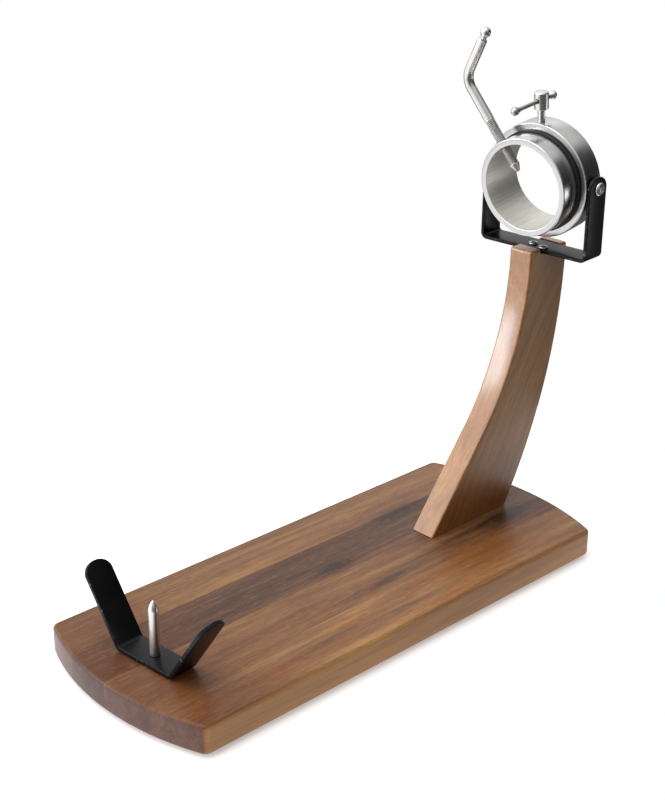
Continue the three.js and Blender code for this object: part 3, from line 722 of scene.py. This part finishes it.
def turned_size(node, place, axis=2):
    """(smallest radius, largest radius, low, high) of a CAD node about a local axis."""
    points = cad_points(node, place)
    along = points[:, axis]
    radius = np.linalg.norm(np.delete(points, axis, 1), axis=1)
    return radius.min(), radius.max(), along.min(), along.max()


def upright(node):
    """A frame at the middle of a CAD node seen from above, with z = 0 on the table."""
    low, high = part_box(node)
    return Matrix.Translation(((low.x + high.x) / 2, (low.y + high.y) / 2, 0))


def standing(node):
    """An upright turned node's frame, then its turned_size."""
    place = upright(node)
    return place, *turned_size(node, place)


# ---------- board ----------

BOARD_EDGE = 3.2 * MM
BOARD_CORNER = 7 * MM
CORNER_ROOM = 12 * MM  # length of the end's arc that each corner may use
BOW_SHORT = 2.3 * MM  # the CAD's bow is measured to its eased corners, and so comes out larger
RECESS_ROOM = 1.6 * MM  # round a washer under the board
RECESS_LIP = 1.2 * MM
BELOW = 1 * MM  # how far a cutter reaches past the face it cuts


def board_outline(low, high, bow):
    """Long straight sides and two shallowly bowed ends, with eased corners. Anticlockwise."""
    half = (high.y - low.y) / 2
    radius = (half ** 2 + bow ** 2) / (2 * bow)
    full = asin(half / radius)
    sweep = full - CORNER_ROOM / radius
    corner_x = high.x - bow
    points = [(corner_x, -half)]
    points += arc((high.x - radius, 0), radius, -sweep, sweep, 48)
    points += [(corner_x, half), (-corner_x, half)]
    points += arc((low.x + radius, 0), radius, pi - sweep, pi + sweep, 48)
    points += [(-corner_x, -half)]
    radii = [BOARD_CORNER if abs(abs(p[1]) - half) < 1e-6 else 0 for p in points]
    return rounded(points, radii, steps=8)


def base_board():
    low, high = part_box("base_board")
    points = cad_points("base_board")
    side = points[np.abs(points[:, 1]) > high.y - 0.01 * MM]
    bow = high.x - side[:, 0].max() - BOW_SHORT
    middle = Vector(((low.x + high.x) / 2, 0, 0))
    low -= middle
    high -= middle
    slab = plate(board_outline(low, high, bow), low.z, high.z, BOARD_EDGE, steps=6)
    cutters = []
    for node in ("spike_washer", "arm_washer_1", "arm_washer_2"):
        place, _, radius, _, top = standing(node)
        radius += RECESS_ROOM
        lip = radius + RECESS_LIP
        mouth = [(0, -BELOW), (lip, -BELOW), (lip, low.z), (radius, low.z + 1 * MM)]
        recess = lathe([*mouth, (radius, top + GAP), (0, top + GAP)], 64)
        cutters.append(moved(recess, Matrix.Translation(place.translation - middle)))
    body = combined(slab, cutters)
    shown("board", body, Matrix.Translation(middle), "stand", "board_wood", "base_board")


# ---------- feet, washers and screws ----------

CROSS_WIDTH = 0.16  # of the head's radius, half the cross's slot
CROSS_REACH = 0.62
CROSS_TAPER = (1.08, 0.62)  # the cross's size at its mouth and at its floor
CORE = 0.78  # of the shank's radius, at the root of a wood screw's thread
THREAD_SHAPE = [(0, -0.42), (1, -0.06), (1, 0.06), (0, 0.42)]  # (share of rise, share of pitch)


def cross_cutter(radius, depth, top):
    """A tapered cross, as a cross-head screw's recess. top is the head's face."""
    wide = radius * CROSS_WIDTH
    reach = radius * CROSS_REACH
    corners = [(wide, -reach), (wide, -wide), (reach, -wide)]
    for _ in range(3):
        corners += [(-y, x) for x, y in corners[-3:]]
    bm = bmesh.new()
    loops = []
    for size, z in zip(CROSS_TAPER, (top + 0.2 * MM, top - depth)):
        loops.append([bm.verts.new((x * size, y * size, z)) for x, y in corners])
    return skinned(bm, loops)


def screw_thread(bore, crest, low, high, pitch, segments=24):
    """A helical ridge round a shank, as sections that rise by one pitch a turn."""
    bm = bmesh.new()
    steps = max(2, round((high - low) / pitch * segments))
    rows = []
    for k in range(steps + 1):
        angle = 2 * pi * k / segments
        z = low + (high - low) * k / steps
        fade = min(1.0, k / segments, (steps - k) / segments)
        row = []
        for rise, offset in THREAD_SHAPE:
            reach = bore + (crest - bore) * rise * fade
            height = min(max(z + offset * pitch, low), high)
            row.append(bm.verts.new((reach * cos(angle), reach * sin(angle), height)))
        rows.append(row)
    return skinned(bm, rows)


def foot(number):
    node = f"foot_{number}"
    place = upright(node)
    points = cad_points(node, place)
    radius = np.linalg.norm(points[:, :2], axis=1)
    bore, outer = radius.min(), radius.max()
    sole = radius[points[:, 2] < 0.01 * MM]
    floor = np.unique(np.round(points[:, 2], 5))[1]
    top = points[:, 2].max()
    recess, base = sole.min(), sole.max()
    corners = [(bore, floor), (recess, floor), (recess, 0), (base, 0), (outer, top), (bore, top)]
    profile = rounded(corners, [0, 0, 0.3 * MM, 0.7 * MM, 0.4 * MM, 0])
    shown(f"pad_{number}", lathe(profile, 72, closed=True), place, "stand", "rubber", node)


def foot_screw(number):
    node = f"foot_screw_{number}"
    place, _, head, low, high = standing(node)
    shank = 0.42 * head
    seat = low + 0.8 * MM
    tip = high - 3 * MM
    profile = [(0, low), (head * 0.62, low), (head, low + 0.45 * MM), (head, seat)]
    profile += [(shank * 0.8, seat), (shank * 0.8, tip), (0, high)]
    body = lathe(rounded(profile, 0.15 * MM, closed=False), 48)
    facing_down = Matrix.Translation((0, 0, low)) @ Matrix.Rotation(pi, 4, "X")
    body = combined(body, [moved(cross_cutter(head * 0.8, 0.45 * MM, 0), facing_down)])
    added(body, screw_thread(shank * CORE, shank, seat + 0.4 * MM, tip, 1.1 * MM))
    shown(f"pad_screw_{number}", body, place, "stand", "zinc", node)


def washer(node, name):
    place, *size = standing(node)
    shown(name, band(*size, 0.15 * MM), place, "stand", "zinc", node)


def chamfered_hexagon(across, low, high, both=False):
    """A hexagon prism whose corners are turned off at the low end, and at the high end if both."""
    corner = across / sqrt(3) * 1.02
    flat = across / 2 * 0.95
    drop = (corner - flat) * tan(radians(30))
    top = high - drop if both else high
    crown = [(0, low), (flat, low), (corner, low + drop), (corner, top)]
    crown += [(flat, high), (0, high)] if both else [(0, high)]
    return combined(prism(hexagon(across), low, high), [lathe(crown, 72)], "INTERSECT")


COACH = Sizes(head=4 * MM, shank=3 * MM, plain=14 * MM, tip=7 * MM, pitch=2.4 * MM)


def arm_screw(number):
    """A hexagon-head coach screw, its head below: a plain shank, then a coarse thread."""
    node = f"arm_screw_{number}"
    place = upright(node)
    low, high = cad_size(node, place)
    across = min(high.x - low.x, high.y - low.y)
    seat = low.z + COACH.head
    inside = low.z + COACH.head / 2
    shank = COACH.shank
    tip = high.z - COACH.tip
    start = seat + COACH.plain
    body = chamfered_hexagon(across, low.z, seat)
    added(body, lathe([(0, inside), (shank * 0.8, inside), (shank * 0.8, tip), (0, high.z)], 40))
    added(body, screw_thread(shank * CORE, shank, start, tip, COACH.pitch, 32))
    added(body, cylinder(shank, inside, start, 40))
    shown(f"coach_screw_{number}", body, place, "stand", "zinc", node)


# ---------- arm ----------

ARM = Sizes(
    edge=1.8 * MM,
    corner=2.2 * MM,
    top_width=45 * MM,  # along the board
    front_run=149.9 * MM,  # from the front edge at the board to the back of the top
    front_lean=radians(37.4),
    front_radius=230 * MM,
    back_radius=415 * MM,
    below=12 * MM,  # the outline starts this far under the board's face, and is cut off there
)
SEAT_DEPTH = 4 * MM
SEAT_PLAY = 1.2 * MM


def arm_outline(back, bottom, top):
    """In X and Z. The front is straight, then an arc; the back is one arc. Both end upright."""
    lean = ARM.front_lean
    front_radius = ARM.front_radius
    front_top = back - ARM.top_width
    front_foot = back - ARM.front_run
    arc_start_x = front_top - front_radius * (1 - cos(lean))
    arc_end = bottom + (arc_start_x - front_foot) / tan(lean) + front_radius * sin(lean)
    below = bottom - ARM.below
    drop = asin((arc_end - below) / ARM.back_radius)
    points = [(front_foot - ARM.below * tan(lean), below)]
    rear = arc((back - ARM.back_radius, arc_end), ARM.back_radius, -drop, 0, 72)[:-1]
    front = arc((front_top - front_radius, arc_end), front_radius, 0, -lean, 40)[1:]
    corner = ARM.corner
    head = [rear[-1], (back, top), (front_top, top), front[0]]
    return points + rear + rounded(head, [0, corner, corner, 0], closed=False)[1:-1] + front


def support_arm():
    low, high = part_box("support_arm")
    half = (high.y - low.y) / 2
    slab = plate(arm_outline(high.x, low.z - GAP, high.z), -half, half, ARM.edge, steps=6)
    yoke_low, yoke_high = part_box("yoke")
    seat = (yoke_low.x + yoke_high.x) / 2
    seat_half = STRIP_WIDTH / 2 + SEAT_PLAY
    cutters = [
        box_mesh((low.x - 0.1, -1, low.z - 0.1), (high.x + 0.1, 1, low.z)),
        box_mesh((seat - seat_half, -1, high.z - SEAT_DEPTH), (seat + seat_half, 1, high.z + 0.1)),
    ]
    origin = Vector((high.x - ARM.top_width, 0, low.z))
    body = moved(combined(moved(slab, STANDING), cutters), Matrix.Translation(-origin))
    shown("arm", body, Matrix.Translation(origin), "stand", "arm_wood", "support_arm")


# ---------- bent strips ----------

STRIP_EDGE = 0.7 * MM
END_RISE = 9.5 * MM  # height of a strip's half-elliptical end
BOLT_HOLE = 3.3 * MM
SCREW_HOLE = 2.3 * MM
CRADLE = Sizes(
    turn=radians(4.1),
    thickness=3.5 * MM,
    corner=26.1 * MM,
    angle=radians(56.4),
    arm=62.9 * MM,
    bend=3 * MM,
)
YOKE = Sizes(
    turn=radians(4.5),
    thickness=3 * MM,
    corner=48.1 * MM,
    angle=radians(90),
    bend=2.5 * MM,
)


def strip_outline(half_length):
    points = []
    for side, start in ((1, 0), (-1, pi)):
        for k in range(29):
            turn = start + pi * k / 28
            along = side * (half_length - END_RISE) + END_RISE * sin(turn)
            points.append((STRIP_WIDTH / 2 * cos(turn), along))
    return points


def bent_strip(size, arm, holes):
    """A flat strip with half-elliptical ends bent up at both sides, its base on z = 0.

    It lies along Y. The size's corner is where the inner faces of base and arm would meet, arm the
    length from there to the end, and holes are (x, place along the strip, radius).
    """
    thickness, angle = size.thickness, size.angle
    setback = size.bend * tan(angle / 2)
    middle_radius = size.bend + thickness / 2
    flat = size.corner - setback
    curve = middle_radius * angle
    strip = plate(strip_outline(flat + curve + arm - setback), 0, thickness, STRIP_EDGE, steps=4)
    cutters = []
    for x, along, radius in holes:
        hole = cylinder(radius, -BELOW, thickness + BELOW)
        cutters.append(moved(hole, Matrix.Translation((x, along, 0))))
    strip = combined(strip, cutters)
    stations = [flat + curve * k / 10 for k in range(11)]
    stations += [flat * k / 8 for k in range(-8, 9)]
    stations += [flat + curve + (arm - setback) * k / 8 for k in range(1, 8)]
    for station in stations:
        for side in (1, -1):
            geometry = [*strip.verts, *strip.edges, *strip.faces]
            bmesh.ops.bisect_plane(strip, geom=geometry, dist=SAME_POINT,
                                   plane_co=(0, side * station, 0), plane_no=(0, 1, 0))
    for vert in strip.verts:
        vert.co = bent_point(vert.co, flat, curve, middle_radius, thickness, angle)
    return strip


def bent_point(point, flat, curve, middle_radius, thickness, angle):
    side = 1 if point.y > 0 else -1
    along = abs(point.y)
    if along <= flat:
        return point.copy()
    turn = min(1, (along - flat) / curve) * angle
    beyond = max(0, along - flat - curve)
    radius = middle_radius + thickness / 2 - point.z
    centre_z = thickness / 2 + middle_radius
    y = flat + radius * sin(turn) + beyond * cos(turn)
    z = centre_z - radius * cos(turn) + beyond * sin(turn)
    return Vector((point.x, side * y, z))


def cradle():
    low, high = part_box("cradle")
    place = Matrix.Translation(((low.x + high.x) / 2, (low.y + high.y) / 2, low.z))
    place = place @ Matrix.Rotation(CRADLE.turn, 4, "Z")
    strip = bent_strip(CRADLE, CRADLE.arm, [(0, 0, BOLT_HOLE)])
    shown("rest", strip, place, "stand", "black_paint", "cradle")


def yoke():
    size = YOKE
    low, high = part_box("yoke")
    pivot = Vector(JOINTS["head_tilt"]["pos_m"])
    arm = high.z - low.z - size.thickness
    place = Matrix.Translation((pivot.x, pivot.y, low.z)) @ Matrix.Rotation(size.turn, 4, "Z")
    setback = size.bend
    flat = size.corner - setback
    along_pivot = flat + (size.bend + size.thickness / 2) * size.angle
    along_pivot += pivot.z - low.z - size.thickness - setback
    holes = [(0, along_pivot, BOLT_HOLE), (0, -along_pivot, BOLT_HOLE)]
    for node in ("yoke_screw_1", "yoke_screw_2"):
        at = place.inverted() @ upright(node).translation
        holes.append((at.x, at.y, SCREW_HOLE))
    shown("fork", bent_strip(size, arm, holes), place, "stand", "black_paint", "yoke")


def yoke_screw(number):
    node = f"yoke_screw_{number}"
    place, _, head, low, high = standing(node)
    seat = high - 1.9 * MM
    shank = 2 * MM
    start = low + 6 * MM
    profile = [(0, low), (shank * 0.8, start), (shank * 0.8, seat), (head * 0.96, seat)]
    profile += dome(0, seat + 0.3 * MM, head, 1.6 * MM, 10)[:-1]
    body = lathe([*profile, (0, high)], 56)
    recess = cross_cutter(head * 0.85, 1.3 * MM, high)
    spin = Matrix.Rotation(radians(20 + 47 * number), 4, "Z")  # each cross stands its own way
    body = combined(body, [moved(recess, spin)])
    added(body, screw_thread(shank * CORE, shank, start, seat - 5 * MM, 1.6 * MM))
    shown(f"fork_screw_{number}", body, place, "stand", "zinc", node)


# ---------- spike ----------

SPIKE = Sizes(stud=3 * MM, point=9.5 * MM, pitch=1 * MM, crest=0.18 * MM)
SPIKE_BLUNTNESS = 0.8  # power of the point's profile


def spike():
    place, _, radius, low, high = standing("spike")
    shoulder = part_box("cradle")[0].z + CRADLE.thickness + GAP
    start = high - SPIKE.point
    stud = SPIKE.stud
    profile = [(0, low), (stud - 0.4 * MM, low), (stud, low + 0.4 * MM)]
    profile += [(stud, shoulder), (radius - 0.3 * MM, shoulder), (radius, shoulder + 0.3 * MM)]
    steps = 18
    for k in range(steps + 1):
        rise = k / steps
        profile.append((radius * (1 - rise ** 2) ** SPIKE_BLUNTNESS, start + SPIKE.point * rise))
    body = lathe(profile, 96)
    thread = (low + 0.5 * MM, shoulder - 1 * MM, SPIKE.pitch)
    added(body, screw_thread(stud * 0.98, stud + SPIKE.crest, *thread))
    shown("prong", body, place, "stand", "spike_steel", "spike")


def spike_nut():
    place = upright("spike_nut")
    low, high = cad_size("spike_nut", place)
    body = chamfered_hexagon(min(high.x - low.x, high.y - low.y), low.z, high.z, both=True)
    body = combined(body, [cylinder(SPIKE.stud + GAP, low.z - BELOW, high.z + BELOW)])
    shown("prong_nut", body, place, "stand", "zinc", "spike_nut")


# ---------- head: ring, pivots and sleeve ----------

RING_STEPS = 192
BAND_EDGES = [0.5 * MM, 0.9 * MM, 0.9 * MM, 0.5 * MM]
PIVOT_HOLE = 3.15 * MM
LOCK_HOLE = 3.2 * MM
ROD_HOLE = 4.15 * MM
ROD_MOUTH = (39.3 * MM, 40.1 * MM, 4.9 * MM)  # a countersink from here, to here, this wide
SLEEVE_PLACES = Sizes(groove_low=0.6 * MM, groove_high=7.4 * MM, shoulder=12.6 * MM)


def outer_ring():
    inner, outer, low, high = turned_size("outer_ring", HEAD, 0)
    half = (high - low) / 2
    ring = moved(band(inner, outer, -half, half, BAND_EDGES, RING_STEPS, 4), LYING_X)
    lock_x = (HEAD.inverted() @ Vector(JOINTS["lock_turn"]["pos_m"])).x
    pivot_hole = moved(cylinder(PIVOT_HOLE, -60 * MM, 60 * MM), LYING_Y)
    lock_hole = moved(cylinder(LOCK_HOLE, 30 * MM, 60 * MM), Matrix.Translation((lock_x, 0, 0)))
    ring = combined(ring, [pivot_hole, lock_hole])
    shown("hoop", ring, HEAD, "ring", "ring_steel", "outer_ring")


def sleeve():
    _, _, low, high = turned_size("sleeve", HEAD, 0)
    front, back = -low, -high
    size, at = SLEEVE, SLEEVE_PLACES
    corners = [(size.bore, back), (size.neck, back), (size.neck, at.groove_low)]
    corners += [(size.groove, at.groove_low), (size.groove, at.groove_high)]
    corners += [(size.neck, at.groove_high), (size.neck, at.shoulder)]
    corners += [(size.outer, at.shoulder), (size.outer, front), (size.bore, front)]
    radii = [0.4, 0.5, 0.1, 0.1, 0.1, 0.1, 0.1, 0.4, 0.9, 0.7]
    profile = rounded(corners, [radius * MM for radius in radii], steps=4)
    body = moved(lathe(profile, RING_STEPS, closed=True), LYING_X)
    into_head = HEAD.inverted() @ CLAMP
    hole = cylinder(ROD_HOLE, 30 * MM, 45 * MM)
    low, high, wide = ROD_MOUTH
    mouth = lathe([(0, low), (ROD_HOLE, low), (wide, high), (0, high)], 48)
    body = combined(body, [moved(hole, into_head), moved(mouth, into_head)])
    shown("barrel", body, HEAD, "collar", "ring_steel", "sleeve")


def thrust_washer():
    inner, outer, low, high = turned_size("thrust_washer", HEAD, 0)
    body = moved(band(inner, outer, -high, -low, 0.3 * MM, RING_STEPS), LYING_X)
    shown("glide_ring", body, HEAD, "collar", "nylon", "thrust_washer")


PIVOT_SIDES = {"left": -pi / 2, "right": pi / 2}
PIVOT = Sizes(
    head_height=3 * MM,
    shank=3 * MM,
    crown=2.5 * MM / sin(radians(72)),
    socket=4.1 * MM,
    socket_depth=1.9 * MM,
)


def pivot_place(side):
    return HEAD @ Matrix.Rotation(PIVOT_SIDES[side], 4, "X")


def pivot_bolt(side):
    node = f"pivot_bolt_{side}"
    place = pivot_place(side)
    _, head, low, high = turned_size(node, place)
    seat = high - PIVOT.head_height
    shank = PIVOT.shank
    crown = dome(0, seat + 0.5 * MM, head, PIVOT.crown, 11, radians(72), 0.8)
    profile = [(0, low), (shank - 0.4 * MM, low), (shank, low + 0.4 * MM), (shank, seat)]
    profile += [(head - 0.15 * MM, seat), *crown, (crown[-1][0] * 0.95, high), (0, high)]
    socket = prism(hexagon(PIVOT.socket), high - PIVOT.socket_depth, high + BELOW)
    mouth_low, mouth_high = high - 0.3 * MM, high + 0.3 * MM
    mouth = lathe([(0, mouth_low), (2.2 * MM, mouth_low), (2.7 * MM, mouth_high), (0, mouth_high)], 48)
    body = combined(lathe(profile, 72), [socket, mouth])
    added(body, screw_thread(shank * 0.97, shank + 0.1 * MM, low + 0.5 * MM, low + 9 * MM, 1 * MM))
    shown(f"trunnion_{side}", body, place, "ring", "polished_steel", node)


def pivot_washer(side):
    node = f"pivot_washer_{side}"
    place = pivot_place(side)
    body = band(*turned_size(node, place), 0.2 * MM)
    shown(f"spacer_{side}", body, place, "ring", "nylon", node)


# ---------- head: lock screw and its bar ----------

BAR = Sizes(radius=1.65 * MM, ball=3.4 * MM, neck=2.3 * MM, neck_length=1.6 * MM)
BAR_HOLE = 2 * MM
KNURL_PITCH = 0.55 * MM


def lock_pad():
    _, outer, low, high = turned_size("lock_pad", LOCK)
    profile = rounded([(0, low), (outer, low), (outer, high), (0, high)], 0.3 * MM, closed=False)
    shown("pad_stud", lathe(profile, 48), LOCK, "lock_pad", "brass", "lock_pad")


def lock_screw():
    _, head, low, high = turned_size("lock_screw", LOCK)
    points = cad_points("lock_screw", LOCK)
    radius = np.linalg.norm(points[:, :2], axis=1)
    head_low = points[radius > 0.8 * head][:, 2].min()
    shank = 3 * MM
    rod = shank - 0.05 * MM
    profile = [(0, low), (shank - 0.5 * MM, low), (rod, low + 0.5 * MM), (rod, head_low)]
    profile += [(head - 0.6 * MM, head_low), (head, head_low + 0.6 * MM)]
    profile += dome(head - 1.6 * MM, high - 2.2 * MM, 1.6 * MM, 1.4 * MM, 9)
    body = lathe([*profile, (2.2 * MM, high - 0.25 * MM), (0, high)], 96)
    across = LOCK.inverted() @ bar_frame()
    body = combined(body, [moved(cylinder(BAR_HOLE, -20 * MM, 20 * MM), across)])
    thread = (low + 0.5 * MM, low + 12 * MM, 1 * MM, 32)
    added(body, screw_thread(shank - 0.5 * MM, shank, *thread))
    shown("lock_spindle", body, LOCK, "lock_screw", "polished_steel", "lock_screw")


def bar_frame():
    """The bar's frame: Z forward along it, at its height in the lock screw's head."""
    low, high = cad_size("tommy_bar", LOCK)
    return LOCK @ Matrix.Translation((0, 0, (high.z + low.z) / 2)) @ LYING_X


def ball_profile(radius, centre, start, steps=22):
    """Points of a ball about (0, centre), from the angle start to its far pole."""
    angles = [start + (pi - start) * k / steps for k in range(steps + 1)]
    return [(max(0, radius * sin(a)), centre - radius * cos(a)) for a in angles]


def tommy_bar():
    place = bar_frame()
    low, high = cad_size("tommy_bar", place)
    ball, neck, rod = BAR.ball, BAR.neck, BAR.radius
    centre = high.z - ball
    start = asin(neck * CORE / ball)
    neck_high = centre - ball * cos(start)
    neck_low = neck_high - BAR.neck_length
    profile = [(0, low.z), (rod, low.z), (rod, neck_low), (neck - 0.2 * MM, neck_low)]
    profile += [(neck, neck_low + 0.2 * MM), (neck, neck_high - 0.25 * MM)]
    profile += [(neck * CORE, neck_high - 0.1 * MM), *ball_profile(ball, centre, start)]
    shown("toggle", lathe(profile, 64), place, "bar", "bar_steel", "tommy_bar")


def tommy_knob():
    place = bar_frame()
    low, high = cad_size("tommy_knob", place)
    ball, neck = BAR.ball, BAR.neck
    centre = low.z + ball
    start = asin(neck * 0.85 / ball)
    profile = list(reversed([(r, 2 * centre - z) for r, z in ball_profile(ball, centre, start)]))
    ridge = centre + ball * cos(start)
    steps = max(1, int((high.z - ridge) / KNURL_PITCH))
    for k in range(steps):
        z = ridge + (high.z - ridge) * k / steps
        profile += [(neck - 0.25 * MM, z), (neck, z + 0.15 * MM), (neck, z + 0.35 * MM)]
    profile += [(neck - 0.25 * MM, high.z), (0, high.z)]
    shown("toggle_knob", lathe(profile, 64), place, "bar", "polished_steel", "tommy_knob")


# ---------- clamp ----------

CLAMP_SIZE = Sizes(
    rod=4 * MM,
    tip_end=1.5 * MM,
    stem=2 * MM,
    stem_length=4 * MM,
    bend_at=96.9 * MM,
    bend_angle=radians(64),
    bend_radius=15 * MM,
    tail=37.5 * MM,
    ball=4.2 * MM,
    neck=2.6 * MM,
    neck_length=1.5 * MM,
    pitch=1.25 * MM,
    thread_depth=0.62 * MM,
    thread_high=60 * MM,
)
THREAD_GRIME_AND_PAINTED_SHADE = 0.9
THREAD_FADE = 2 * MM  # length over which the thread runs out
CROWN_END = 0.68  # of the rod's radius, at its far end's chamfer
CROWN_LENGTH = 1 * MM
BEVEL_END = 0.86  # and at its near end's
BEVEL_LENGTH = 0.5 * MM
ROD_AROUND = 48


def clamp_tip():
    size = CLAMP_SIZE
    _, _, low, high = turned_size("clamp_tip", CLAMP)
    shoulder = high - size.stem_length
    corners = [(0, low), (size.tip_end, low), (size.rod, shoulder - 0.6 * MM), (size.rod, shoulder)]
    corners += [(size.stem, shoulder), (size.stem, high), (0, high)]
    radii = [0, 0.5, 0.4, 0.2, 0, 0.2, 0]
    profile = rounded(corners, [radius * MM for radius in radii], closed=False)
    shown("clamp_cone", lathe(profile, 72), CLAMP, "clamp_tip", "spike_steel", "clamp_tip")


def lever_path():
    """The rod's centre line and direction at a distance along it, its start and its whole length."""
    size = CLAMP_SIZE
    start = turned_size("clamp_tip", CLAMP)[3] - size.stem_length + GAP
    radius, angle = size.bend_radius, size.bend_angle
    setback = radius * tan(angle / 2)
    straight = size.bend_at - setback - start
    curve = radius * angle

    def at(distance):
        if distance <= straight:
            return Vector((0, 0, start + distance)), 0.0
        turn = min(1.0, (distance - straight) / curve) * angle
        beyond = max(0.0, distance - straight - curve)
        y = -radius * (1 - cos(turn)) - beyond * sin(turn)
        z = start + straight + radius * sin(turn) + beyond * cos(turn)
        return Vector((0, y, z)), turn

    return at, start, straight + curve + size.tail - setback


def clamp_lever():
    """The rod as rings of points; along its threaded length each point follows the helix."""
    size = CLAMP_SIZE
    at, start, length = lever_path()
    fine = size.pitch / 14
    threaded = size.thread_high - start
    stations = list(np.arange(0, threaded + THREAD_FADE, fine))
    stations += list(np.linspace(stations[-1] + fine, length - CROWN_LENGTH, 90))
    stations += [length - CROWN_LENGTH + CROWN_LENGTH * k / 3 for k in range(1, 4)]
    bm = bmesh.new()
    root_grime_and_painted_shade = bm.verts.layers.float.new("root_grime_and_painted_shade")
    rings = []
    for s in stations:
        centre, turn = at(s)
        side = Vector((1, 0, 0))
        up = Vector((0, cos(turn), sin(turn)))
        depth = size.thread_depth * min(1.0, max(0.0, (threaded - s) / THREAD_FADE))
        crown = min(1.0, CROWN_END + (1 - CROWN_END) * (length - s) / CROWN_LENGTH)
        bevel = min(1.0, BEVEL_END + (1 - BEVEL_END) * s / BEVEL_LENGTH)
        ring = []
        for k in range(ROD_AROUND):
            angle = 2 * pi * k / ROD_AROUND
            phase = (s / size.pitch - angle / (2 * pi)) % 1
            ridge = min(1.0, max(0.0, 1.25 - 2.5 * abs(phase - 0.5)))
            radius = (size.rod - depth * (1 - ridge)) * crown * bevel
            outwards = side * cos(angle) + up * sin(angle)
            vert = bm.verts.new(centre + outwards * radius)
            # Painted shade with grime: darkest in the thread roots.
            vert[root_grime_and_painted_shade] = depth / size.thread_depth * (1 - ridge) * THREAD_GRIME_AND_PAINTED_SHADE
            ring.append(vert)
        rings.append(ring)
    socket = cylinder(size.stem + GAP, start - BELOW, start + size.stem_length)
    body = combined(skinned(bm, rings), [socket])
    shown("lever", body, CLAMP, "lever", "polished_steel", "clamp_lever", 40)


def lever_ball():
    size = CLAMP_SIZE
    at, _, length = lever_path()
    end, turn = at(length)
    place = CLAMP @ Matrix.Translation(end) @ Matrix.Rotation(turn, 4, "X")
    ball, neck = size.ball, size.neck
    centre = GAP + size.neck_length + ball
    start = asin(neck / ball)
    profile = [(0, GAP), (neck - 0.2 * MM, GAP), (neck, GAP + 0.2 * MM)]
    profile += [(neck, centre - ball * cos(start)), *ball_profile(ball, centre, start, 28)]
    shown("lever_knob", lathe(profile, 72), place, "lever", "polished_steel", "lever_ball")


base_board()
for foot_number in (1, 2, 3, 4):
    foot(foot_number)
    foot_screw(foot_number)
support_arm()
for screw_number in (1, 2):
    washer(f"arm_washer_{screw_number}", f"coach_washer_{screw_number}")
    arm_screw(screw_number)
    yoke_screw(screw_number)
cradle()
spike()
washer("spike_washer", "prong_washer")
spike_nut()
yoke()
outer_ring()
sleeve()
thrust_washer()
for pivot_side in PIVOT_SIDES:
    pivot_bolt(pivot_side)
    pivot_washer(pivot_side)
lock_pad()
lock_screw()
tommy_bar()
tommy_knob()
clamp_tip()
clamp_lever()
lever_ball()

# ---------- floor, light and surroundings ----------

FLOOR_SIZE = (1.1, 0.72)  # a white sheet on a table, in a darker room
FLOOR_MIDDLE = (-0.15, 0.2, 0)
FLOOR_GLOW = 0.34
# Parts of the room: where each is seen from the stand, the cosines to that direction between which
# it fades in, and its strength outside and inside.
WINDOW = ((-0.76, 0.6, 0.28), 0.3, 0.85, 0.0, 1.3)
SHADE = ((0.72, -0.66, 0.22), 0.78, 0.95, 1.0, 0.13)  # the unlit side, where the ceiling is dimmed
CARD = ((0.7, -0.66, -0.24), 0.985, 0.996, 0.0, 2.6)  # a white card low on the unlit side
PAPER = ((0.6, 0.74, 0.26), 0.74, 0.94, 0.0, 0.62)  # white paper behind the stand


def make_floor():
    tree, point = new_material("floor")
    mottle = tree.noise(point, 3.0, 3.0, 0.5)
    color = tree.mix(mottle, (0.86, 0.86, 0.86, 1), (0.9, 0.9, 0.9, 1))
    surface(tree, color, 0.9, Emission_Color=(1, 1, 1, 1), Emission_Strength=FLOOR_GLOW)
    bm = bmesh.new()
    bmesh.ops.create_grid(bm, x_segments=8, y_segments=8, size=0.5)
    bmesh.ops.scale(bm, vec=(*FLOOR_SIZE, 1), verts=bm.verts)
    floor = new_object("floor", bm)
    floor.data.materials.append(MATERIALS["floor"])
    floor.location = FLOOR_MIDDLE


def area_light(name, place, aim, size, power, color=(1, 1, 1)):
    data = bpy.data.lights.new(name, "AREA")
    data.shape = "RECTANGLE"
    data.size, data.size_y = size
    data.energy = power
    data.color = color
    light = bpy.data.objects.new(name, data)
    scene.collection.objects.link(light)
    light.location = place
    light.rotation_euler = (Vector(aim) - Vector(place)).to_track_quat("-Z", "Y").to_euler()


def room_part(tree, direction, part):
    where, *fade = part
    nearness = tree.vector("DOT_PRODUCT", direction, Vector(where).normalized())
    return tree.span(nearness, *fade, smooth=True)


def make_world():
    """White to the camera; to light and reflections, a room with a window and a shaded side."""
    world = bpy.data.worlds.new("studio")
    scene.world = world
    world.use_nodes = True
    tree = Tree(world.node_tree)
    direction = tree.add("TexCoord", {}, "Generated")
    up = tree.split(direction)[2]
    window, shade, card, paper = [room_part(tree, direction, p) for p in (WINDOW, SHADE, CARD, PAPER)]
    # The window's foot is a little dimmer.
    window = window * tree.span(up, -0.3, 0.05, 0.8, 1.0)
    ceiling = tree.span(up, 0.0, 0.85, 0.12, 0.85, smooth=True)
    room = ceiling * shade + (window + paper) + card
    room = tree.add("Background", {"Color": tree.join(room, room, room)})
    backdrop = tree.add("Background", {"Color": (1, 1, 1, 1)})
    seen = tree.add("LightPath", {}, "Is Camera Ray")
    mixed = tree.add("MixShader", {0: seen, 1: room, 2: backdrop})
    tree.add("OutputWorld", {"Surface": mixed})


make_floor()
make_world()
area_light("top", (-0.3, 0.2, 2.4), (0, 0, 0.1), (1.6, 1.6), 21)
area_light("key", (-1.65, 1.55, 0.6), (0, 0, 0.15), (0.6, 0.9), 13, (0.86, 0.93, 1.0))
scene.view_settings.view_transform = "Standard"
